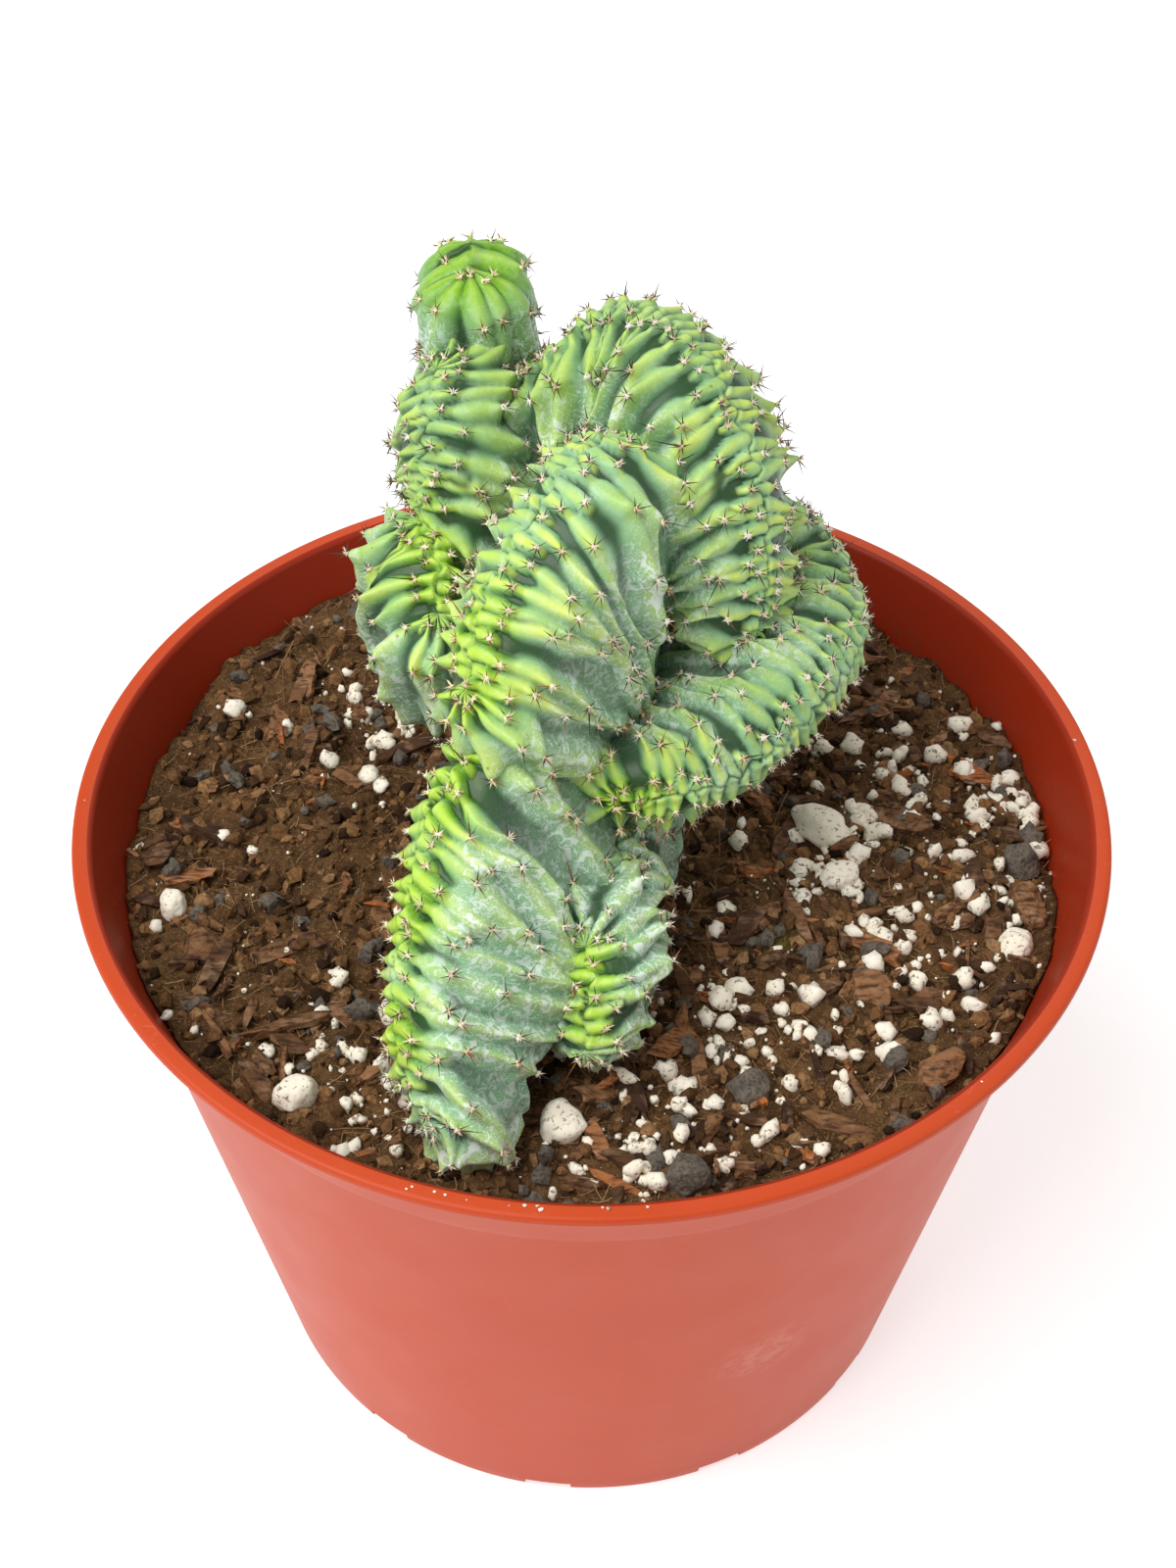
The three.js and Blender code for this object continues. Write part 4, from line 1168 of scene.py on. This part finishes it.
def skin_material():
    """Cactus skin: a living, waxy epidermis.

    New beans are a glossy lime green, older skin wears a bluish bloom of wax that is scraped in pale streaks,
    and thin furrows part the beans. Painted shade darkens the furrows and the back of the plant, and a
    painted highlight lightens the ridges.
    """
    material, add = new_material("waxy_cactus_skin")
    place = add("TexCoord").outputs["Object"]
    value = {key: add("Attribute", {"attribute_name": key}).outputs["Fac"]
             for key in SKIN_VALUES}
    # cloudy patches about 9 mm across, blotches of 2.5 mm and scratches of a few tenths
    clouds = add("TexNoise", inputs={"Vector": place, "Scale": 110, "Detail": 4})
    blotches = add("TexNoise", inputs={
        "Vector": place, "Scale": 420, "Detail": 6, "Roughness": 0.62, "Distortion": 1.6})
    scratches = add("TexNoise", inputs={"Vector": place, "Scale": 700, "Detail": 3, "Distortion": 2.6})
    # beans: teal where they leave the seam, yellow green along the ridge line and towards the areole,
    # partly their own colour and partly a painted highlight
    teal = add("Mix", COLOUR, {"Factor": clouds, "A": linear("#74ac77"), "B": linear("#b4deab")})
    yellow = add("Mix", COLOUR, {"Factor": value["tint"], "A": linear("#a4cc4c"), "B": linear("#dcee6e")})
    on_ridge = add("MapRange", EASED, {"Value": value["ridge"], "From Min": 0.2, "From Max": 0.8})
    to_tip = add("MapRange", EASED, {"Value": value["along"], "From Max": 0.7, "To Min": 0.25})
    lit = add("Math", TIMES, {0: on_ridge, 1: to_tip})
    own = add("MapRange", inputs={"Value": value["tint"], "To Min": 0.5})
    varied = add("Math", TIMES, {0: lit, 1: own})
    bean = add("Mix", COLOUR, {"Factor": varied, "A": teal, "B": yellow})
    # the bloom grows with the distance from the seam and is least on new growth
    older = add("MapRange", EASED, {"Value": value["seam"], "From Min": 6, "From Max": 30})
    patchy = add("MapRange", inputs={
        "Value": clouds, "From Min": 0.3, "From Max": 0.7, "To Min": -0.35, "To Max": 0.35})
    uneven = add("Math", {"operation": "ADD"}, {0: older, 1: patchy})
    settled = add("Math", {"operation": "SUBTRACT"}, {0: uneven, 1: value["fresh"]})
    bloom = add("Math", {"operation": "ADD", "use_clamp": True}, {0: settled, 1: value["bloom"]})
    bluish = add("Mix", COLOUR, {"Factor": clouds, "A": linear("#5f986e"), "B": linear("#aad8aa")})
    # the ridge lines wear their wax off, so they are yellower, and a painted highlight makes them lighter
    crest_line = add("MapRange", EASED, {
        "Value": value["ridge"], "From Min": 0.4, "From Max": 0.95, "To Max": 0.65})
    ridge_highlighted = add("Mix", COLOUR, {"Factor": crest_line, "A": bluish, "B": linear("#b2ce60")})
    rubbed = add("MapRange", EASED, {"Value": value["ridge"], "From Min": 0.5, "To Min": 1, "To Max": 0.65})
    aged_share = add("Math", TIMES, {0: bloom, 1: rubbed})
    aged = add("Mix", COLOUR, {"Factor": aged_share, "A": bean, "B": ridge_highlighted})
    # farther back the plant is greener, with less bloom, and darker with painted shade;
    # there the ridges get a painted highlight
    depth = add("SeparateXYZ", inputs={"Vector": place}).outputs["Y"]
    back = add("MapRange", EASED, {"Value": depth, "From Min": -0.015, "From Max": 0.04, "To Max": 0.55})
    ridge_light = add("MapRange", EASED, {"Value": value["ridge"], "From Min": 0.2, "From Max": 0.9})
    greener = add("Mix", COLOUR, {"Factor": ridge_light, "A": linear("#5c8840"), "B": linear("#9fc254")})
    shaded = add("Mix", COLOUR, {"Factor": back, "A": aged, "B": greener})
    # the newest growth, lime, with painted shade in its valleys and a painted highlight on its ridges
    newest = add("Math", {"operation": "MULTIPLY", "use_clamp": True}, {0: value["fresh"], 1: 1.35})
    tender = add("MapRange", EASED, {"Value": value["ridge"], "From Min": 0.1, "From Max": 0.9})
    lime = add("Mix", COLOUR, {"Factor": tender, "A": linear("#74ac1c"), "B": linear("#badd4a")})
    grown = add("Mix", COLOUR, {"Factor": newest, "A": shaded, "B": lime})
    # scraped wax: blotches, and thin streaks where a noise passes its middle value
    scraped = add("MapRange", EASED, {"Value": blotches, "From Min": 0.51, "From Max": 0.57, "To Max": 0.85})
    middle = add("Math", {"operation": "COMPARE"}, {0: scratches, 1: 0.5, 2: 0.022})
    streaks = add("Math", TIMES, {0: middle, 1: 0.85})
    either = add("Math", {"operation": "MAXIMUM"}, {0: scraped, 1: streaks})
    where_old = add("MapRange", inputs={"Value": bloom, "From Min": 0.05, "From Max": 0.7, "To Min": 0.12})
    pale = add("Math", TIMES, {0: either, 1: where_old})
    waxed = add("Mix", COLOUR, {"Factor": pale, "A": grown, "B": linear("#e6f1e8")})
    # painted shade in the furrows, which fades down the flanks
    fade = add("MapRange", EASED, {
        "Value": value["seam"], "From Min": 12, "From Max": 34, "To Min": 0.9, "To Max": 0.4})
    narrow = add("Math", {"operation": "POWER"}, {0: value["crease"], 1: 1.7})
    furrow_shade = add("Math", TIMES, {0: narrow, 1: fade})
    furrow_shaded = add("Mix", COLOUR, {"Factor": furrow_shade, "A": waxed, "B": linear("#163a1c")})
    # corky specks, about half a millimetre wide and some 5 mm apart
    cells = add("TexVoronoi", inputs={"Vector": place, "Scale": 210})
    speck = add("MapRange", EASED, {
        "Value": cells, "From Min": 0.05, "From Max": 0.1, "To Min": 0.6, "To Max": 0})
    colour = add("Mix", COLOUR, {"Factor": speck, "A": furrow_shaded, "B": linear("#7a6a40")})
    roughness = add("MapRange", inputs={"Value": bloom, "To Min": 0.3, "To Max": 0.52})
    grain = add("TexNoise", inputs={"Vector": place, "Scale": 1300, "Detail": 3})
    raised = add("Math", {"operation": "MULTIPLY_ADD"}, {0: pale, 1: 0.8, 2: grain})
    bump = add("Bump", inputs={"Height": raised, "Strength": 0.35, "Distance": 0.12 * MM})
    shader = add("BsdfPrincipled", inputs={
        "Base Color": colour, "Roughness": roughness, "Normal": bump, "IOR": 1.42,
        "Specular IOR Level": 0.42})
    add("OutputMaterial", inputs={"Surface": shader})
    return material


def wool_material():
    """Areole wool: short felted hairs, cream on new areoles and tan on old ones, with no gloss."""
    material, add = new_material("areole_felt")
    place = add("TexCoord").outputs["Object"]
    tint = add("Attribute", {"attribute_name": "tint"}).outputs["Fac"]
    fresh = add("Attribute", {"attribute_name": "fresh"}).outputs["Fac"]
    # real hairs are a few hundredths of a millimetre thick: drawn 0.4 mm apart, so that they show
    hairs = add("TexNoise", inputs={"Vector": place, "Scale": 2600, "Detail": 2})
    old = add("Mix", COLOUR, {"Factor": tint, "A": linear("#e2cfa8"), "B": linear("#fffbee")})
    new = add("Mix", COLOUR, {"Factor": fresh, "A": old, "B": linear("#fbf2c0")})
    shade = add("MapRange", inputs={
        "Value": hairs, "From Min": 0.35, "From Max": 0.5, "To Min": 0.4, "To Max": 0})
    colour = add("Mix", COLOUR, {"Factor": shade, "A": new, "B": linear("#8a6a48")})
    bump = add("Bump", inputs={"Height": hairs, "Strength": 0.6, "Distance": 0.1 * MM})
    shader = add("BsdfPrincipled", inputs={
        "Base Color": colour, "Roughness": 0.95, "Normal": bump, "Sheen Weight": 0.25})
    add("OutputMaterial", inputs={"Surface": shader})
    return material


def spine_material():
    """Cactus spines: hard horn, amber at the base and on new growth, and else nearly black."""
    material, add = new_material("horny_spine")
    place = add("TexCoord").outputs["Object"]
    value = {key: add("Attribute", {"attribute_name": key}).outputs["Fac"]
             for key in ("tint", "fresh", "reach")}
    age = add("Math", {"operation": "MULTIPLY_ADD"}, {0: value["fresh"], 1: 0.45, 2: value["tint"]})
    amber = add("MapRange", EASED, {"Value": age, "From Min": 0.65, "From Max": 1.05})
    body = add("Mix", COLOUR, {"Factor": amber, "A": linear("#21140f"), "B": linear("#9a5b2c")})
    base = add("MapRange", inputs={
        "Value": value["reach"], "From Min": 0.05, "From Max": 0.35, "To Min": 0.8, "To Max": 0})
    # stained rings about half a millimetre apart
    rings = add("TexNoise", inputs={"Vector": place, "Scale": 1800})
    stained = add("Math", TIMES, {0: base, 1: rings})
    colour = add("Mix", COLOUR, {"Factor": stained, "A": body, "B": linear("#c9905c")})
    shader = add("BsdfPrincipled", inputs={"Base Color": colour, "Roughness": 0.42, "IOR": 1.54})
    add("OutputMaterial", inputs={"Surface": shader})
    return material


def pot_material():
    """Terracotta-coloured polypropylene, injection moulded.

    An even orange red with a satin skin from the mould, fine scratches from handling, and dust of the mix
    inside over the filling. Painted shade darkens the inside of the wall to a dark red.
    """
    material, add = new_material("moulded_polypropylene")
    place = add("TexCoord").outputs["Object"]
    axes = add("SeparateXYZ", inputs={"Vector": place})
    flat = add("CombineXYZ", inputs={"X": axes.outputs["X"], "Y": axes.outputs["Y"]})
    radius = add("VectorMath", {"operation": "LENGTH"}, {0: flat}).outputs["Value"]
    height = axes.outputs["Z"]
    # the colour drifts over some 35 mm
    clouds = add("TexNoise", inputs={"Vector": place, "Scale": 28, "Detail": 4})
    base = add("Mix", COLOUR, {"Factor": clouds, "A": linear("#bd4018"), "B": linear("#c84b20")})
    # scratches: a noise stretched round the wall, 3 mm long and 0.5 mm high, seen where it passes one value
    stretched = add("VectorMath", TIMES, {0: place, 1: (300, 300, 2200)})
    lines = add("TexNoise", inputs={"Vector": stretched, "Scale": 1, "Detail": 2, "Distortion": 0.6})
    thin = add("Math", {"operation": "COMPARE"}, {0: lines, 1: 0.62, 2: 0.006})
    patches = add("TexNoise", inputs={"Vector": place, "Scale": 60, "Detail": 2})
    handled = add("MapRange", inputs={"Value": patches, "From Min": 0.5, "From Max": 0.65, "To Max": 0.2})
    scratched = add("Math", TIMES, {0: thin, 1: handled})
    scraped = add("Mix", COLOUR, {"Factor": scratched, "A": base, "B": linear("#e8a48c")})
    # a chalky rubbed patch low on the front right
    away = add("VectorMath", {"operation": "DISTANCE"}, {0: place, 1: (0.035, -0.074, 0.057)})
    near = add("MapRange", EASED, {
        "Value": away.outputs["Value"], "From Min": 0.002, "From Max": 0.014, "To Min": 0.3, "To Max": 0})
    mottled = add("TexNoise", inputs={"Vector": place, "Scale": 240, "Detail": 6, "Roughness": 0.7})
    chalk = add("MapRange", EASED, {"Value": mottled, "From Min": 0.34, "From Max": 0.62})
    rubbed = add("Math", TIMES, {0: near, 1: chalk})
    worn = add("Mix", COLOUR, {"Factor": rubbed, "A": scraped, "B": linear("#dca08c")})
    # dust clings inside, most of all just over the mix
    flare = COLLAR_FLARE / COLLAR_HEIGHT
    middle = (inner_radius(POT_HEIGHT) - POT_HEIGHT * flare + 0.5 * WALL) * MM
    wall = add("Math", {"operation": "MULTIPLY_ADD"}, {0: height, 1: flare, 2: middle})
    inside = add("Math", {"operation": "LESS_THAN"}, {0: radius, 1: wall})
    low = add("MapRange", EASED, {
        "Value": height, "From Min": 0.125, "From Max": 0.134, "To Min": 0.6, "To Max": 0.04})
    # painted shade: inside, the wall is darkened to a dark red, as if it were lit only by its own bounced red
    # light
    shade = add("Math", TIMES, {0: inside, 1: 0.7})
    inside_shaded = add("Mix", COLOUR, {"Factor": shade, "A": worn, "B": linear("#7a0c00")})
    specks = add("TexNoise", inputs={"Vector": place, "Scale": 500, "Detail": 6, "Roughness": 0.75})
    grime = add("MapRange", EASED, {"Value": specks, "From Min": 0.48, "From Max": 0.62})
    smear = add("Math", TIMES, {0: grime, 1: low})
    dust = add("Math", TIMES, {0: smear, 1: inside})
    thin_dust = add("Math", TIMES, {0: dust, 1: 0.75})
    colour = add("Mix", COLOUR, {"Factor": thin_dust, "A": inside_shaded, "B": linear("#5a3826")})
    satin = add("MapRange", inputs={"Value": patches, "To Min": 0.36, "To Max": 0.5})
    roughness = add("Math", {"operation": "MULTIPLY_ADD", "use_clamp": True}, {
        0: thin_dust, 1: 0.5, 2: satin})
    orange_peel = add("TexNoise", inputs={"Vector": place, "Scale": 500, "Detail": 2})
    bump = add("Bump", inputs={"Height": orange_peel, "Strength": 0.12, "Distance": 0.1 * MM})
    shader = add("BsdfPrincipled", inputs={
        "Base Color": colour, "Roughness": roughness, "Normal": bump, "IOR": 1.49,
        "Specular IOR Level": 0.25})
    add("OutputMaterial", inputs={"Surface": shader})
    return material


def mix_material():
    """Potting mix: fibrous peat and fine bark, crumbly and without gloss, in lighter and darker clods."""
    material, add = new_material("peat_and_fine_bark")
    place = add("TexCoord").outputs["Object"]
    # clods of 8 mm, crumbs of 1.6 mm, and fibres 0.7 mm apart
    clods = add("TexNoise", inputs={"Vector": place, "Scale": 130, "Detail": 5, "Roughness": 0.6})
    crumbs = add("TexVoronoi", inputs={"Vector": place, "Scale": 620})
    fibres = add("TexNoise", inputs={"Vector": place, "Scale": 1500, "Detail": 4, "Distortion": 2})
    brown = add("Mix", COLOUR, {"Factor": clods, "A": linear("#150c06"), "B": linear("#7f5c3a")})
    each = add("SeparateXYZ", inputs={"Vector": crumbs.outputs["Color"]}).outputs["X"]
    varied = add("MapRange", inputs={"Value": each, "From Min": 0.2, "From Max": 1, "To Max": 0.7})
    speckled = add("Mix", COLOUR, {"Factor": varied, "A": brown, "B": linear("#3c2716")})
    thread = add("MapRange", inputs={"Value": fibres, "From Min": 0.52, "From Max": 0.66, "To Max": 0.7})
    colour = add("Mix", COLOUR, {"Factor": thread, "A": speckled, "B": linear("#96744e")})
    # a patch of moss where the mix stays damp
    away = add("VectorMath", {"operation": "DISTANCE"}, {0: place, 1: (0.0346, -0.0267, 0.125)})
    near = add("MapRange", EASED, {
        "Value": away.outputs["Value"], "From Min": 0.002, "From Max": 0.007, "To Min": 0.85, "To Max": 0})
    mossy = add("MapRange", inputs={"Value": fibres, "From Min": 0.35, "From Max": 0.6})
    moss = add("Math", TIMES, {0: near, 1: mossy})
    grown = add("Mix", COLOUR, {"Factor": moss, "A": colour, "B": linear("#6f6b24")})
    height = add("Math", {"operation": "ADD"}, {0: fibres, 1: clods})
    bump = add("Bump", inputs={"Height": height, "Strength": 0.9, "Distance": 0.5 * MM})
    shader = add("BsdfPrincipled", inputs={
        "Base Color": grown, "Roughness": 0.92, "Normal": bump, "IOR": 1.4, "Specular IOR Level": 0.15})
    add("OutputMaterial", inputs={"Surface": shader})
    return material


def crumb_material():
    """Crumbs of peat and composted bark: dark brown to reddish, each its own shade, matte."""
    material, add = new_material("peat_crumb")
    place = add("TexCoord").outputs["Object"]
    tint = add("Attribute", {"attribute_name": "tint"}).outputs["Fac"]
    grain = add("TexNoise", inputs={"Vector": place, "Scale": 1300, "Detail": 4, "Roughness": 0.65})
    brown = add("Mix", COLOUR, {"Factor": tint, "A": linear("#23150b"), "B": linear("#9d7147")})
    tan = add("MapRange", inputs={"Value": tint, "From Min": 0.82, "From Max": 0.95, "To Max": 0.85})
    mixed = add("Mix", COLOUR, {"Factor": tan, "A": brown, "B": linear("#a68058")})
    shade = add("MapRange", inputs={
        "Value": grain, "From Min": 0.35, "From Max": 0.65, "To Min": 0.6, "To Max": 0})
    colour = add("Mix", COLOUR, {"Factor": shade, "A": mixed, "B": linear("#1c0f08")})
    bump = add("Bump", inputs={"Height": grain, "Strength": 0.8, "Distance": 0.3 * MM})
    shader = add("BsdfPrincipled", inputs={
        "Base Color": colour, "Roughness": 0.9, "Normal": bump, "Specular IOR Level": 0.15})
    add("OutputMaterial", inputs={"Surface": shader})
    return material


def bark_material():
    """Conifer bark chips: split in thin reddish-brown layers, with darker furrows and pale worn edges."""
    material, add = new_material("conifer_bark")
    place = add("TexCoord").outputs["Object"]
    tint = add("Attribute", {"attribute_name": "tint"}).outputs["Fac"]
    # layers some 0.7 mm thick, drawn out sideways
    stretched = add("VectorMath", TIMES, {0: place, 1: (260, 900, 1500)})
    layers = add("TexNoise", inputs={"Vector": stretched, "Scale": 1, "Detail": 5, "Roughness": 0.6})
    patches = add("TexNoise", inputs={"Vector": place, "Scale": 300, "Detail": 3})
    brown = add("Mix", COLOUR, {"Factor": tint, "A": linear("#321d0f"), "B": linear("#9a6c46")})
    orange = add("MapRange", inputs={"Value": tint, "From Min": 0.84, "From Max": 0.95})
    hued = add("Mix", COLOUR, {"Factor": orange, "A": brown, "B": linear("#ab6430")})
    worn = add("MapRange", inputs={"Value": patches, "From Min": 0.5, "From Max": 0.75, "To Max": 0.6})
    mixed = add("Mix", COLOUR, {"Factor": worn, "A": hued, "B": linear("#b08c6c")})
    furrow = add("MapRange", inputs={
        "Value": layers, "From Min": 0.36, "From Max": 0.56, "To Min": 0.85, "To Max": 0})
    colour = add("Mix", COLOUR, {"Factor": furrow, "A": mixed, "B": linear("#28140b")})
    bump = add("Bump", inputs={"Height": layers, "Strength": 0.9, "Distance": 0.35 * MM})
    shader = add("BsdfPrincipled", inputs={
        "Base Color": colour, "Roughness": 0.8, "Normal": bump, "Specular IOR Level": 0.25})
    add("OutputMaterial", inputs={"Surface": shader})
    return material


def fibre_material():
    """Peat and coir fibres: dry brown threads, from dark to straw coloured."""
    material, add = new_material("peat_fibre")
    place = add("TexCoord").outputs["Object"]
    tint = add("Attribute", {"attribute_name": "tint"}).outputs["Fac"]
    streaks = add("TexNoise", inputs={"Vector": place, "Scale": 900, "Detail": 3})
    brown = add("Mix", COLOUR, {"Factor": tint, "A": linear("#4a2f18"), "B": linear("#c39d70")})
    faded = add("Math", TIMES, {0: streaks, 1: 0.8})
    colour = add("Mix", COLOUR, {"Factor": faded, "A": brown, "B": linear("#4b2c18")})
    shader = add("BsdfPrincipled", inputs={
        "Base Color": colour, "Roughness": 0.85, "Specular IOR Level": 0.2})
    add("OutputMaterial", inputs={"Surface": shader})
    return material


def perlite_material():
    """Expanded perlite: volcanic glass foam, chalky cream white, with open pores that show as dark brown
    pits.
    """
    material, add = new_material("expanded_perlite")
    place = add("TexCoord").outputs["Object"]
    # real pores are 0.1 to 0.3 mm wide: drawn just under 1 mm apart, so that they show
    pores = add("TexNoise", inputs={"Vector": place, "Scale": 1100, "Detail": 3, "Distortion": 0.4})
    patches = add("TexNoise", inputs={"Vector": place, "Scale": 260, "Detail": 4})
    white = add("Mix", COLOUR, {"Factor": patches, "A": linear("#e6d8bb"), "B": linear("#fff9ec")})
    open_here = add("MapRange", inputs={
        "Value": patches, "From Min": 0.48, "From Max": 0.6, "To Min": 0.8, "To Max": 0.1})
    pit = add("MapRange", inputs={
        "Value": pores, "From Min": 0.36, "From Max": 0.44, "To Min": 1, "To Max": 0})
    pitted = add("Math", TIMES, {0: open_here, 1: pit})
    colour = add("Mix", COLOUR, {"Factor": pitted, "A": white, "B": linear("#57493a")})
    bump = add("Bump", inputs={"Height": pores, "Strength": 0.7, "Distance": 0.3 * MM})
    shader = add("BsdfPrincipled", inputs={"Base Color": colour, "Roughness": 0.85, "Normal": bump})
    add("OutputMaterial", inputs={"Surface": shader})
    return material


def stone_material():
    """Lava grit: dark grey-brown scoria, rough and full of small pores, with dust on top."""
    material, add = new_material("lava_scoria")
    place = add("TexCoord").outputs["Object"]
    # pores 0.7 mm apart, and patches of dust 3 mm across
    pores = add("TexNoise", inputs={"Vector": place, "Scale": 1400, "Detail": 4, "Roughness": 0.6})
    patches = add("TexNoise", inputs={"Vector": place, "Scale": 350, "Detail": 5, "Roughness": 0.7})
    grey = add("Mix", COLOUR, {"Factor": patches, "A": linear("#191513"), "B": linear("#857868")})
    pit = add("MapRange", inputs={
        "Value": pores, "From Min": 0.4, "From Max": 0.5, "To Min": 0.5, "To Max": 0})
    colour = add("Mix", COLOUR, {"Factor": pit, "A": grey, "B": linear("#120d0b")})
    bump = add("Bump", inputs={"Height": pores, "Strength": 0.9, "Distance": 0.4 * MM})
    shader = add("BsdfPrincipled", inputs={"Base Color": colour, "Roughness": 0.88, "Normal": bump})
    add("OutputMaterial", inputs={"Surface": shader})
    return material


# The floor


def floor_material():
    """Matt white backdrop paper, which glows a little so that it shows near white."""
    material, add = new_material("studio_paper")
    place = add("TexCoord").outputs["Object"]
    grain = add("TexNoise", inputs={"Vector": place, "Scale": 400, "Detail": 2})
    colour = add("Mix", COLOUR, {"Factor": grain, "A": linear("#d2d2d2"), "B": linear("#dcdcdc")})
    shader = add("BsdfPrincipled", inputs={
        "Base Color": colour, "Roughness": 0.8, "Emission Color": linear("#ffffff"),
        "Emission Strength": 0.56})
    add("OutputMaterial", inputs={"Surface": shader})
    return material


def add_floor():
    """The pale studio floor that the pot stands on."""
    bm = bmesh.new()
    bmesh.ops.create_grid(bm, x_segments=1, y_segments=1, size=3)
    floor = bpy.data.objects.new("floor", finished("floor", bm))
    floor.data.materials.append(floor_material())
    bpy.context.scene.collection.objects.link(floor)


add_camera()
add_studio()
add_floor()
add_cactus()
add_pot()
add_mix()
loose = (bark_material(), perlite_material(), stone_material())
add_litter(*loose)
add_lumps(*loose)
